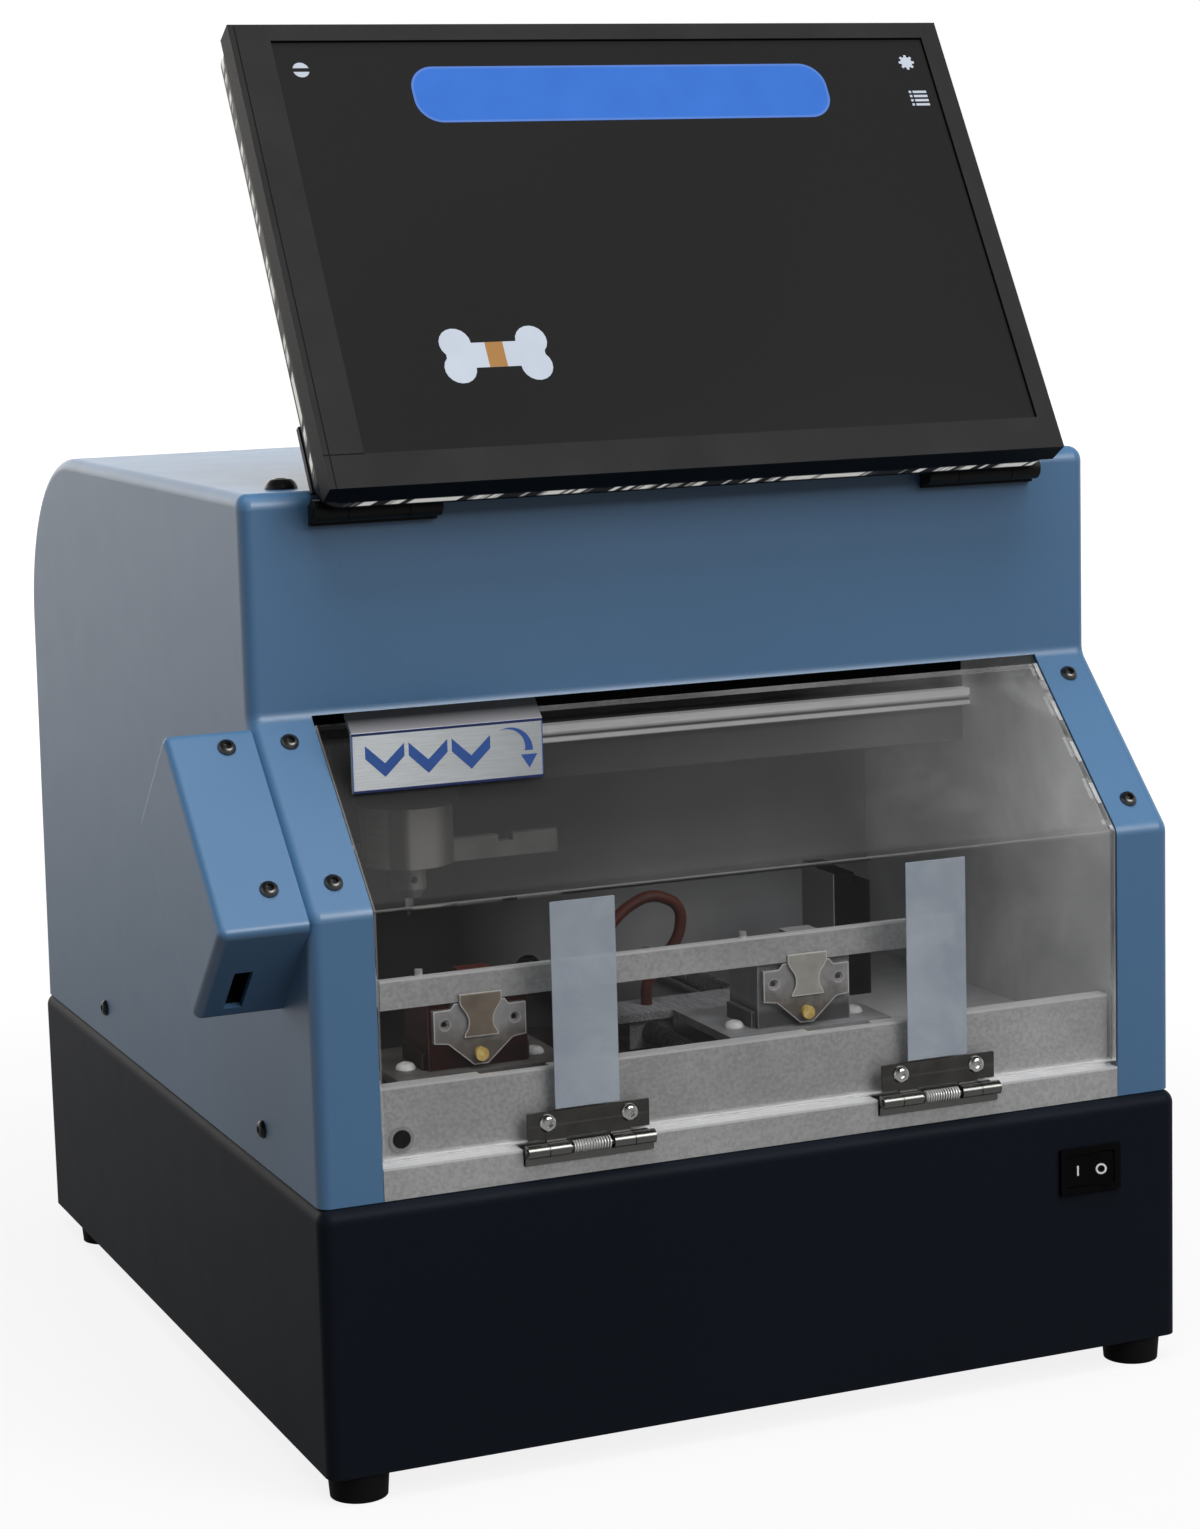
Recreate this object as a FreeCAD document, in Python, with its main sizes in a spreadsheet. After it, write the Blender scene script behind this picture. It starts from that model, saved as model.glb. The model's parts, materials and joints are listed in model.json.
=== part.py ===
"""A desktop tag engraving machine: a painted cabinet with a sprung clear door, a tilting screen,
a tag table that moves front to back, and a spindle that moves left to right and up and down.

Lengths are in millimetres.  Each sub-part is drawn from a working datum in the middle of the
cabinet's front face, at floor level, with X to the right, Y to the back and Z up.  The finished
sub-parts are then shifted so that the frame's origin is the middle of the machine's footprint.
"""
import FreeCAD, Part
import math
import os
import Sketcher
from types import SimpleNamespace

DIMENSIONS = {
    # cabinet
    "foot_height": 10.0,
    "foot_radius": 11.0,
    "foot_reach": 156.0,
    "foot_front": 11.5,
    "foot_back": 349.0,
    "base_width": 340.0,
    "base_depth": 383.0,
    "base_height": 95.3,
    "base_corner": 5.0,
    "sheet": 2.0,
    "screw_head_radius": 3.3,
    "screw_head_crown": 2.1,
    "screw_head_height": 1.9,
    "post_screw_x": 156.4,
    "post_screw_low": 13.2,
    "post_screw_high": 73.2,
    "hood_width": 337.6,
    "hood_front": 3.0,
    "bend_height": 206.5,
    "slant": 44.7,
    "panel_front": 62.0,
    "hood_top": 344.7,
    "hood_back_low": 381.7,
    "hood_back_high": 371.8,
    "hood_back_round": 75.0,
    "hood_edge": 4.5,
    "hood_bend": 5.5,
    "opening_width": 291.6,
    # door, its hinges and its handle
    "door_width": 290.6,
    "door_front": 3.5,
    "door_wall": 4.5,
    "door_bottom": 119.0,
    "door_slant_run": 56.0,
    "strip_width": 24.4,
    "strip_bottom": 129.7,
    "strip_top": 203.0,
    "hinge_reach": 69.4,
    "hinge_y": 1.0,
    "hinge_z": 116.0,
    "hinge_width": 48.4,
    "leaf_width": 46.2,
    "leaf_wall": 1.0,
    "leaf_top": 129.2,
    "knuckle_radius": 2.5,
    "hinge_pin": 1.2,
    "knuckle_length": 7.8,
    "handle_left": -139.9,
    "handle_right": -68.8,
    "handle_front": 36.5,
    "handle_wall": 1.5,
    "handle_top": 262.2,
    "handle_leaf": 9.2,
    # fixed frame behind the door
    "ledge_top": 116.7,
    "ledge_back": 22.0,
    "inner_panel_front": 9.0,
    "inner_panel_top": 143.7,
    "side_plate_inner": 146.0,
    "deck_top": 126.0,
    "bulkhead_front": 205.0,
    # tag table
    "table_bottom": 137.7,
    "table_wall": 3.0,
    "table_left": -136.0,
    "table_right": 60.0,
    "table_front": 17.0,
    "table_back": 100.0,
    "rod_height": 132.4,
    "rod_radius": 4.0,
    "fit": 0.05,
    "screw_x": -11.0,
    "clamp_left": -102.5,
    "clamp_right": 24.5,
    "clamp_face": 20.0,
    "bar_bottom": 167.9,
    "bar_top": 178.4,
    # spindle and its two slides
    "spindle_x": -104.4,
    "spindle_y": 84.0,
    "spindle_radius": 17.0,
    "spindle_bottom": 205.6,
    "spindle_top": 275.0,
    "rail_bottom": 239.4,
    "rail_top": 246.2,
    "rail_front": 114.0,
    "rail_back": 120.0,
    # screen
    "screen_lean": 30.9,
    "screen_y": 36.06,
    "screen_z": 347.07,
    "bezel_width": 288.4,
    "bezel_height": 187.9,
    "view_width": 265.7,
    "view_height": 168.1,
    "view_shift": 3.7,
    "view_base": 12.9,
    "tilt_y": 57.0,
    "tilt_z": 338.0,
    "tilt_pin": 2.0,
    # port box, switch and inlet
    "port_width": 31.6,
    "port_length": 84.9,
    "port_depth": 52.0,
    "port_drop": 3.5,
    "slot_offset": 3.0,
    "slot_half": 3.3,
    "slot_front": 23.6,
    "slot_back": 45.4,
    "rocker_x": 131.2,
    "rocker_z": 80.1,
    "rocker_y": 2.5,
    "rocker_rest": 10.0,
    "rocker_reach": 5.0,
    "rocker_half": 9.2,
    "inlet_x": -105.0,
    "inlet_z": 48.0,
    "inlet_flange": 2.5,
}

DOC = FreeCAD.newDocument("tag_engraver")
SHEET = DOC.addObject("Spreadsheet::Sheet", "Sizes")
VECTOR = FreeCAD.Vector
PLACES = {}
NODES = []


class Size:
    """A number together with the spreadsheet formula that gives it."""

    def __init__(self, value, formula):
        self.value = value
        self.formula = formula

    def __add__(self, other):
        other = as_size(other)
        return Size(self.value + other.value, f"({self.formula} + {other.formula})")

    def __sub__(self, other):
        other = as_size(other)
        return Size(self.value - other.value, f"({self.formula} - {other.formula})")

    def __mul__(self, other):
        other = as_size(other)
        return Size(self.value * other.value, f"({self.formula} * {other.formula})")

    def __truediv__(self, other):
        other = as_size(other)
        return Size(self.value / other.value, f"({self.formula} / {other.formula})")

    def __radd__(self, other):
        return as_size(other) + self

    def __rsub__(self, other):
        return as_size(other) - self

    def __rmul__(self, other):
        return as_size(other) * self

    def __neg__(self):
        return Size(-self.value, f"(0 - {self.formula})")


def as_size(number):
    """Wraps a plain number as a Size; a Size comes back unchanged."""
    if isinstance(number, Size):
        return number
    return Size(float(number), f"({float(number)})" if number < 0 else f"{float(number)}")


def sine(angle):
    return Size(math.sin(math.radians(angle.value)), f"sin({angle.formula})")


def cosine(angle):
    return Size(math.cos(math.radians(angle.value)), f"cos({angle.formula})")


def fill_sheet():
    """Writes every driving dimension to the spreadsheet and returns them as Sizes."""
    sizes = {}
    for row, (alias, value) in enumerate(DIMENSIONS.items(), start=1):
        SHEET.set(f"A{row}", alias)
        SHEET.set(f"B{row}", str(value))
        SHEET.setAlias(f"B{row}", alias)
        sizes[alias] = Size(value, f"Sizes.{alias}")
    DOC.recompute()
    return SimpleNamespace(**sizes)


D = fill_sheet()

HALF_BASE = D.base_width / 2
BASE_TOP = D.foot_height + D.base_height
HALF_HOOD = D.hood_width / 2
HALF_OPENING = D.opening_width / 2
HALF_DOOR = D.door_width / 2
PANEL_BOTTOM = D.bend_height + (D.panel_front - D.hood_front) * cosine(D.slant) / sine(D.slant)
PORT_LEFT = -(HALF_HOOD + D.port_width)
TABLE_TOP = D.table_bottom + D.table_wall
PLATE_WALL = as_size(3.0)
CLAMP_BASE_TOP = TABLE_TOP + PLATE_WALL
ROCKER_FRONT = (
    D.rocker_y - D.rocker_reach * cosine(D.rocker_rest) - D.rocker_half * sine(D.rocker_rest)
)
INLET_BACK = D.base_depth + D.inlet_flange
ORIGIN_X = (PORT_LEFT + HALF_HOOD + D.screw_head_height) / 2
ORIGIN_Y = (ROCKER_FRONT + INLET_BACK) / 2
CLAMPS = (D.clamp_left, D.clamp_right)
HINGES = (-D.hinge_reach, D.hinge_reach)
PAST = 1.0  # how far a cutting tool runs past the face that it opens


# ---------------------------------------------------------------- drawing helpers

def bind(solid, name, size):
    """Ties one property of a solid to its spreadsheet formula."""
    solid.setExpression(name, as_size(size).formula)


def place(solid, point):
    """Puts a solid's own origin at a point."""
    PLACES[solid.Name] = [as_size(part) for part in point]
    for letter, part in zip("xyz", PLACES[solid.Name]):
        bind(solid, f"Placement.Base.{letter}", part)


def box(low, high):
    """A block between its lowest and its highest corner."""
    block = DOC.addObject("Part::Box", "block")
    for name, near, far in zip(("Length", "Width", "Height"), low, high):
        bind(block, name, as_size(far) - near)
    place(block, low)
    return block


TURNS = {
    "X": FreeCAD.Rotation(VECTOR(0, 1, 0), 90),
    "Y": FreeCAD.Rotation(VECTOR(1, 0, 0), -90),
    "Z": FreeCAD.Rotation(),
    "-Y": FreeCAD.Rotation(VECTOR(1, 0, 0), 90),
    "-X": FreeCAD.Rotation(VECTOR(0, 1, 0), -90),
}


def rod(axis, start, length, radius):
    """A cylinder from a start point along an axis."""
    cylinder = DOC.addObject("Part::Cylinder", "rod")
    cylinder.Placement = FreeCAD.Placement(VECTOR(), TURNS[axis])
    bind(cylinder, "Radius", radius)
    bind(cylinder, "Height", length)
    place(cylinder, start)
    return cylinder


def taper(axis, start, length, radius_start, radius_end):
    """A cone frustum from a start point along an axis."""
    cone = DOC.addObject("Part::Cone", "taper")
    cone.Placement = FreeCAD.Placement(VECTOR(), TURNS[axis])
    bind(cone, "Radius1", radius_start)
    bind(cone, "Radius2", radius_end)
    bind(cone, "Height", length)
    place(cone, start)
    return cone


def fuse(*solids):
    """One solid from solids that touch."""
    joined = DOC.addObject("Part::MultiFuse", "joined")
    joined.Shapes = list(solids)
    joined.Refine = True
    return joined


def cut(solid, *tools):
    """A solid with other solids taken out of it."""
    remainder = DOC.addObject("Part::Cut", "remainder")
    remainder.Base = solid
    remainder.Tool = tools[0] if len(tools) == 1 else fuse(*tools)
    remainder.Refine = True
    return remainder


def group(*solids):
    """Identical separate solids that share one node."""
    gathered = DOC.addObject("Part::Compound", "group")
    gathered.Links = list(solids)
    return gathered


def turned(solid, at, axis, angle):
    """A solid drawn about its own origin, turned and then moved to a point."""
    holder = group(solid)
    holder.Placement = FreeCAD.Placement(VECTOR(), FreeCAD.Rotation(axis, angle.value))
    place(holder, at)
    return holder


def tube(axis, start, length, outer, inner):
    """A cylinder with a bore through it."""
    return cut(rod(axis, start, length, outer), rod(axis, start, length, inner))


PLANES = {"YZ_Plane": 1, "XY_Plane": 1, "XZ_Plane": -1}


def sketch_on(body, plane, offset):
    """An empty sketch on one of the body's own planes, moved along that plane's normal."""
    sketch = body.newObject("Sketcher::SketchObject", "outline")
    support = [part for part in body.Origin.OriginFeatures if part.Role == plane][0]
    sketch.AttachmentSupport = [(support, "")]
    sketch.MapMode = "FlatFace"
    bind(sketch, "AttachmentOffset.Base.z", offset)
    return sketch


def draw_polygon(sketch, corners):
    """Adds a closed polygon whose corners are held by the spreadsheet."""
    corners = [(as_size(across), as_size(up)) for across, up in corners]
    count = len(corners)
    for index, (across, up) in enumerate(corners):
        end = corners[(index + 1) % count]
        line = Part.LineSegment(
            VECTOR(across.value, up.value, 0), VECTOR(end[0].value, end[1].value, 0)
        )
        sketch.addGeometry(line, False)
    for index in range(count):
        sketch.addConstraint(Sketcher.Constraint("Coincident", index, 2, (index + 1) % count, 1))
    for index, corner in enumerate(corners):
        for kind, part in zip(("DistanceX", "DistanceY"), corner):
            number = sketch.addConstraint(Sketcher.Constraint(kind, index, 1, part.value))
            sketch.renameConstraint(number, f"corner{index}{kind}")
            bind(sketch, f"Constraints.corner{index}{kind}", part)


def prism(plane, corners, low, high):
    """A body padded from a polygon, between two levels along the plane's axis."""
    body = DOC.addObject("PartDesign::Body", "body")
    sketch = sketch_on(body, plane, low if PLANES[plane] > 0 else -as_size(high))
    draw_polygon(sketch, corners)
    pad = body.newObject("PartDesign::Pad", "pad")
    pad.Profile = sketch
    bind(pad, "Length", as_size(high) - low)
    return body


def pocket(body, plane, corners, low, high):
    """Cuts a polygon out of a body between two levels, and checks that it did cut."""
    DOC.recompute()
    before = body.Shape.Volume
    sketch = sketch_on(body, plane, high if PLANES[plane] > 0 else -as_size(low))
    draw_polygon(sketch, corners)
    hollow = body.newObject("PartDesign::Pocket", "pocket")
    hollow.Profile = sketch
    bind(hollow, "Length", as_size(high) - low)
    DOC.recompute()
    if not body.Shape.Volume < before:
        raise ValueError("a pocket cut nothing")
    return body


def round_edges(body, radius, chosen):
    """Rounds the edges of a body that the test picks."""
    DOC.recompute()
    names = [f"Edge{number}" for number, edge in enumerate(body.Shape.Edges, start=1) if chosen(edge)]
    sharp = body.Tip
    fillet = body.newObject("PartDesign::Fillet", "rounding")
    fillet.Base = (sharp, names)
    bind(fillet, "Radius", radius)
    body.Tip = fillet
    return body


def middle(edge):
    return edge.CenterOfMass


def rectangle(centre, half_width, half_height):
    """The four corners of a rectangle about its centre."""
    across, up = (as_size(part) for part in centre)
    return [
        (across - half_width, up - half_height), (across + half_width, up - half_height),
        (across + half_width, up + half_height), (across - half_width, up + half_height),
    ]


def runs_along(edge, letter):
    """True for a straight edge along one axis."""
    if edge.Curve.TypeId != "Part::GeomLine":
        return False
    return abs(abs(getattr(edge.Curve.Direction, letter)) - 1) < 1e-6


def grooved_rod(length, radius, depth, pitch, first, count):
    """A shaft along Z with evenly spaced ring grooves."""
    body = DOC.addObject("PartDesign::Body", "body")
    sketch = sketch_on(body, "XY_Plane", 0)
    sketch.addGeometry(Part.Circle(VECTOR(), VECTOR(0, 0, 1), as_size(radius).value), False)
    sketch.addConstraint(Sketcher.Constraint("Coincident", 0, 3, -1, 1))
    number = sketch.addConstraint(Sketcher.Constraint("Radius", 0, as_size(radius).value))
    sketch.renameConstraint(number, "radius")
    bind(sketch, "Constraints.radius", radius)
    pad = body.newObject("PartDesign::Pad", "pad")
    pad.Profile = sketch
    bind(pad, "Length", length)
    profile = sketch_on(body, "XZ_Plane", 0)
    root = as_size(radius) - depth
    lip = as_size(radius) + 1.0
    top = as_size(first) + as_size(pitch) / 2
    draw_polygon(profile, [(root, first), (lip, first), (lip, top), (root, top)])
    axis = [part for part in body.Origin.OriginFeatures if part.Role == "Z_Axis"][0]
    groove = body.newObject("PartDesign::Groove", "groove")
    groove.Profile = profile
    groove.ReferenceAxis = (axis, [""])
    groove.Angle = 360
    DOC.recompute()
    pattern = body.newObject("PartDesign::LinearPattern", "rings")
    pattern.Originals = [groove]
    pattern.Direction = (axis, [""])
    bind(pattern, "Length", as_size(pitch) * (count - 1))
    pattern.Occurrences = count
    body.Tip = pattern
    return body


def node(label, solid, at=(0, 0, 0), axis=None, angle=None):
    """Names a finished sub-part and shifts it to the frame's origin."""
    point = PLACES.get(solid.Name, [as_size(part) for part in at])
    if axis is not None:
        solid.Placement = FreeCAD.Placement(VECTOR(), FreeCAD.Rotation(axis, angle.value))
    for letter, part in zip("xyz", (point[0] - ORIGIN_X, point[1] - ORIGIN_Y, point[2])):
        bind(solid, f"Placement.Base.{letter}", part)
    solid.Label = label
    NODES.append(solid)


# ---------------------------------------------------------------- cabinet

SWITCH_HOLE = (11.0, 7.0)
INLET_HOLE = (14.2, 10.2)


def make_base_box():
    """The dark lower cabinet, open underneath."""
    body = prism("XY_Plane", [
        (-HALF_BASE, 0), (HALF_BASE, 0), (HALF_BASE, D.base_depth), (-HALF_BASE, D.base_depth),
    ], D.foot_height, BASE_TOP)
    round_edges(body, D.base_corner, lambda edge: middle(edge).z > D.foot_height.value + PAST)
    inner = HALF_BASE - D.sheet
    pocket(body, "XY_Plane", [
        (-inner, D.sheet), (inner, D.sheet),
        (inner, D.base_depth - D.sheet), (-inner, D.base_depth - D.sheet),
    ], D.foot_height, BASE_TOP - D.base_corner)
    switch = rectangle((D.rocker_x, D.rocker_z), *SWITCH_HOLE)
    pocket(body, "XZ_Plane", switch, -PAST, D.sheet + PAST)
    inlet = rectangle((D.inlet_x, D.inlet_z), *INLET_HOLE)
    pocket(body, "XZ_Plane", inlet, D.base_depth - D.sheet - PAST, D.base_depth + PAST)
    node("base_box", body)


def make_base_floor():
    """The plate that closes the cabinet from below."""
    inset = as_size(3.6)
    node("base_floor", box(
        (inset - HALF_BASE, inset, D.foot_height),
        (HALF_BASE - inset, D.base_depth - inset, D.foot_height + D.sheet),
    ))


def make_feet():
    """Four rubber feet, each with a hole for its screw's head."""
    draft = 0.8
    hole_depth, hole_radius = 6.0, 3.6
    feet = []
    for side in (-1, 1):
        for y in (D.foot_front, D.foot_back):
            x = D.foot_reach * side
            foot = taper("Z", (x, y, 0), D.foot_height, D.foot_radius - draft, D.foot_radius)
            feet.append(cut(foot, rod("Z", (x, y, -PAST), hole_depth + PAST, hole_radius)))
    node("rubber_feet", group(*feet))


NEAR = 0.01


def behind(edge):
    return middle(edge).y > D.base_depth.value / 2


def above_base(edge):
    return middle(edge).z > BASE_TOP.value + PAST


def make_hood_shell():
    """The blue hood: sides, posts, upper front panel, top and back in one sheet shell."""
    body = prism("YZ_Plane", [
        (D.hood_front, BASE_TOP), (D.hood_front, D.bend_height),
        (D.panel_front, PANEL_BOTTOM), (D.panel_front, D.hood_top),
        (D.hood_back_high, D.hood_top), (D.hood_back_low, BASE_TOP),
    ], -HALF_HOOD, HALF_HOOD)
    round_edges(body, D.hood_back_round, lambda edge: (
        runs_along(edge, "x") and behind(edge) and above_base(edge)))
    round_edges(body, D.hood_bend, lambda edge: (
        runs_along(edge, "x") and above_base(edge) and not behind(edge)))
    round_edges(body, D.hood_edge, lambda edge: (
        abs(abs(middle(edge).x) - HALF_HOOD.value) < NEAR and above_base(edge)))
    DOC.recompute()
    bottom = [
        f"Face{number}" for number, face in enumerate(body.Shape.Faces, start=1)
        if abs(face.CenterOfMass.z - BASE_TOP.value) < NEAR
    ]
    filled = body.Tip
    shell = body.newObject("PartDesign::Thickness", "shell")
    shell.Base = (filled, bottom)
    bind(shell, "Value", D.sheet)
    shell.Reversed = True
    shell.Join = 0
    body.Tip = shell
    pocket(body, "XZ_Plane", [
        (-HALF_OPENING, BASE_TOP - PAST), (HALF_OPENING, BASE_TOP - PAST),
        (HALF_OPENING, PANEL_BOTTOM), (-HALF_OPENING, PANEL_BOTTOM),
    ], 0, D.panel_front + D.hood_edge + D.sheet + PAST)
    node("hood_shell", body)


def hood_back(z):
    """Where the hood's back face lies at a height."""
    slope = (D.hood_back_low - D.hood_back_high) / (D.hood_top - BASE_TOP)
    return D.hood_back_low - (as_size(z) - BASE_TOP) * slope


def make_rear_panel():
    """The service panel on the hood's back."""
    low, high = as_size(125), as_size(255)
    wall, half_width = 1.5, 120.0
    body = prism("YZ_Plane", [
        (hood_back(low), low), (hood_back(low) + wall, low),
        (hood_back(high) + wall, high), (hood_back(high), high),
    ], -half_width, half_width)
    node("rear_panel", body)


def button_head(axis, start):
    """A socket screw's button head, standing out of a face."""
    return taper(axis, start, D.screw_head_height, D.screw_head_radius, D.screw_head_crown)


def slant_point(along, out=0):
    """A point on the hood's slant, measured up from its lower bend and out from its face."""
    y = D.hood_front + sine(D.slant) * along - cosine(D.slant) * out
    z = D.bend_height + cosine(D.slant) * along + sine(D.slant) * out
    return y, z


def make_post_screws():
    """Button screws on the two posts and on the port box's face."""
    port_screw_x = PORT_LEFT + 21.2
    clear = 0.02
    heads = []
    for x in (-D.post_screw_x, D.post_screw_x, port_screw_x):
        for along in (D.post_screw_low, D.post_screw_high):
            y, z = slant_point(along, clear)
            head = button_head("Z", (0, 0, 0))
            heads.append(turned(head, (x, y, z), VECTOR(1, 0, 0), 90 - D.slant))
    node("post_screws", group(*heads))


def make_hood_screws():
    """Screws on the hood's sides, its back panel and its top."""
    heads = []
    side_places, side_z = (65.3, 280.4), 119.0
    back_reach, back_heights, panel_face = 113.0, (132.0, 248.0), 1.8
    top_reach, top_y, top_height, top_radius, top_crown = 147.0, 82.0, 3.6, 5.8, 3.6
    for y in side_places:
        heads.append(button_head("-X", (-HALF_HOOD, y, side_z)))
        heads.append(button_head("X", (HALF_HOOD, y, side_z)))
    for x in (-back_reach, back_reach):
        for z in back_heights:
            heads.append(button_head("Y", (x, hood_back(z) + panel_face, z)))
    for x in (-top_reach, top_reach):
        heads.append(taper("Z", (x, top_y, D.hood_top), top_height, top_radius, top_crown))
    node("hood_screws", group(*heads))


# ---------------------------------------------------------------- port box, switch, inlet

def make_port_box():
    """The box on the hood's left side, square to the slant, with a slot in its lower face."""
    wall = D.sheet
    edge_radius = 3.0
    slot_x = D.port_width / 2 - D.slot_offset
    slot = rectangle(
        (slot_x, (D.slot_front + D.slot_back) / 2), D.slot_half, (D.slot_back - D.slot_front) / 2
    )
    body = prism("XY_Plane", [
        (0, 0), (D.port_width, 0), (D.port_width, D.port_depth), (0, D.port_depth),
    ], 0, D.port_length)
    round_edges(body, edge_radius, lambda edge: middle(edge).x < D.port_width.value - NEAR)
    pocket(body, "YZ_Plane", [
        (wall, wall), (D.port_depth - wall, wall),
        (D.port_depth - wall, D.port_length - wall), (wall, D.port_length - wall),
    ], edge_radius, D.port_width + PAST)
    pocket(body, "XY_Plane", slot, -PAST, wall + PAST)
    y, z = slant_point(-D.port_drop)
    node("side_port_box", body, (PORT_LEFT, y, z), VECTOR(1, 0, 0), -D.slant)


def make_port_socket():
    """The socket behind the port box's slot."""
    wall_x, wall_y = 2.2, 3.0
    depth, well = 18.0, 12.0
    gap = 0.05
    slot_x = D.port_width / 2 - D.slot_offset
    shell = box(
        (slot_x - D.slot_half - wall_x, D.slot_front - wall_y, D.sheet + gap),
        (slot_x + D.slot_half + wall_x, D.slot_back + wall_y, depth),
    )
    mouth = box((slot_x - D.slot_half, D.slot_front, D.sheet), (slot_x + D.slot_half, D.slot_back, well))
    y, z = slant_point(-D.port_drop)
    node("port_socket", cut(shell, mouth), (PORT_LEFT, y, z), VECTOR(1, 0, 0), -D.slant)


def make_switch():
    """The power switch: a fixed bezel and a rocker that turns about an upright pin."""
    x, z = D.rocker_x, D.rocker_z
    flange_x, flange_z, flange_wall = 12.8, 8.7, 1.6
    housing_x, housing_z, housing_depth = 10.9, 6.9, 19.0
    well_x, well_z, well_depth = 10.2, 6.3, 13.0
    flange = box((x - flange_x, -flange_wall, z - flange_z), (x + flange_x, 0, z + flange_z))
    housing = box((x - housing_x, 0, z - housing_z), (x + housing_x, housing_depth, z + housing_z))
    well = box(
        (x - well_x, -flange_wall - PAST, z - well_z), (x + well_x, well_depth, z + well_z)
    )
    node("switch_bezel", cut(fuse(flange, housing), well))
    front = -D.rocker_reach
    hollow = 1.5
    half_height = 6.1
    side_back, back, back_x = 2.0, 6.0, 3.0
    shoulder = D.rocker_half - 1.0
    rocker = prism("XY_Plane", [
        (-D.rocker_half, front), (0, front + hollow), (D.rocker_half, front),
        (shoulder, side_back), (back_x, back), (-back_x, back), (-shoulder, side_back),
    ], -half_height, half_height)
    node("power_rocker", rocker, (x, D.rocker_y, z), VECTOR(0, 0, 1), -D.rocker_rest)


def make_inlet():
    """The mains inlet on the cabinet's back, with a well for the plug and three pins."""
    x, z, back = D.inlet_x, D.inlet_z, D.base_depth
    flange_x, flange_z = 24.0, 14.0
    housing_x, housing_z, housing_depth = 14.1, 10.1, 24.0
    well_x, well_z, well_depth = 12.2, 8.3, 16.0
    pin_x, pin_z, pin_back = 1.0, 2.0, 6.0
    flange = box((x - flange_x, back, z - flange_z), (x + flange_x, INLET_BACK, z + flange_z))
    housing = box(
        (x - housing_x, back - housing_depth, z - housing_z), (x + housing_x, back, z + housing_z)
    )
    well = box(
        (x - well_x, back - well_depth, z - well_z), (x + well_x, INLET_BACK + PAST, z + well_z)
    )
    pins = [
        box(
            (x + step - pin_x, back - well_depth - PAST, z + rise - pin_z),
            (x + step + pin_x, back - pin_back, z + rise + pin_z),
        )
        for step, rise in ((-7.0, -1.0), (0.0, 3.0), (7.0, -1.0))
    ]
    node("power_inlet", fuse(cut(fuse(flange, housing), well), *pins))


def make_power_supply():
    """The power unit inside the lower cabinet, with cooling slots in its lid."""
    left, right, front, back = -140.0, -40.0, 240.0, 340.0
    low = D.foot_height + D.sheet
    top = low + 42.0
    margin, slot_pitch, slot_width, slot_depth = 10.0, 12.0, 4.0, 4.0
    slots = []
    for step in range(7):
        start = front + margin + slot_pitch * step
        slots.append(box(
            (left + margin, start, top - slot_depth), (right - margin, start + slot_width, top + PAST)
        ))
    node("power_supply", cut(box((left, front, low), (right, back, top)), *slots))


# ---------------------------------------------------------------- fixed frame

def make_front_ledge():
    """The aluminium sill under the door, with a recess at each hinge."""
    gap = 0.2
    recess_half, recess_floor = 24.8, 110.7
    reach = HALF_OPENING - gap
    sill = box((-reach, D.hood_front, BASE_TOP), (reach, D.ledge_back, D.ledge_top))
    recesses = [
        box(
            (x - recess_half, D.hood_front - PAST, recess_floor),
            (x + recess_half, D.ledge_back - PAST, D.ledge_top + PAST),
        )
        for x in HINGES
    ]
    node("front_ledge", cut(sill, *recesses))


PLUNGER_PLACE = (-137.0, 125.1)


def make_inner_panel():
    """The aluminium panel behind the door, with a bent top edge notched at each clamp."""
    front = D.inner_panel_front
    top = D.inner_panel_top
    side_gap, wall = 1.6, 2.0
    lip_back, lip_wall = 6.0, 1.5
    notch_left, notch_right = 4.0, 22.0
    reach = HALF_OPENING - side_gap
    panel = box((-reach, front, D.ledge_top), (reach, front + wall, top))
    lip = box((-reach, front + wall, top - lip_wall), (reach, front + lip_back, top))
    notches = [
        box(
            (x - notch_left, front + wall + 0.5, top - lip_wall - 0.5),
            (x + notch_right, front + lip_back + PAST, top + PAST),
        )
        for x in CLAMPS
    ]
    plunger_x, plunger_z = PLUNGER_PLACE
    hole = rod("Y", (plunger_x, front - PAST, plunger_z), wall + 2 * PAST, 4.05)
    node("inner_front_panel", cut(fuse(panel, lip), hole, *notches))


FRAME_TOP = 318.0
SIDE_PLATE_BACK = 300.0


def make_side_plates():
    """The two plates that carry the rods, the beam and the bulkhead."""
    inner = D.side_plate_inner
    front, bend, upper_front, upper_bend = D.inner_panel_front, 203.5, 66.0, 261.0
    corners = [
        (front, BASE_TOP), (front, bend), (upper_front, upper_bend),
        (upper_front, FRAME_TOP), (SIDE_PLATE_BACK, FRAME_TOP), (SIDE_PLATE_BACK, BASE_TOP),
    ]
    node("side_plate_left", prism("YZ_Plane", corners, -(inner + PLATE_WALL), -inner))
    node("side_plate_right", prism("YZ_Plane", corners, inner, inner + PLATE_WALL))


def make_deck_and_bulkhead():
    """The deck under the tag table and the upright plate behind it."""
    reach = D.side_plate_inner
    front = D.inner_panel_front + 15.0
    node("deck_plate", box((-reach, front, D.deck_top - D.sheet), (reach, D.bulkhead_front, D.deck_top)))
    back = D.bulkhead_front + PLATE_WALL
    plate = box((-reach, D.bulkhead_front, BASE_TOP), (reach, back, FRAME_TOP))
    passage = rod("Y", (D.screw_x, D.bulkhead_front - PAST, D.rod_height), PLATE_WALL + 2 * PAST, 6.0)
    node("rear_bulkhead", cut(plate, passage))


GUIDE_ROD_X = (-118.0, 42.0)


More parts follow.
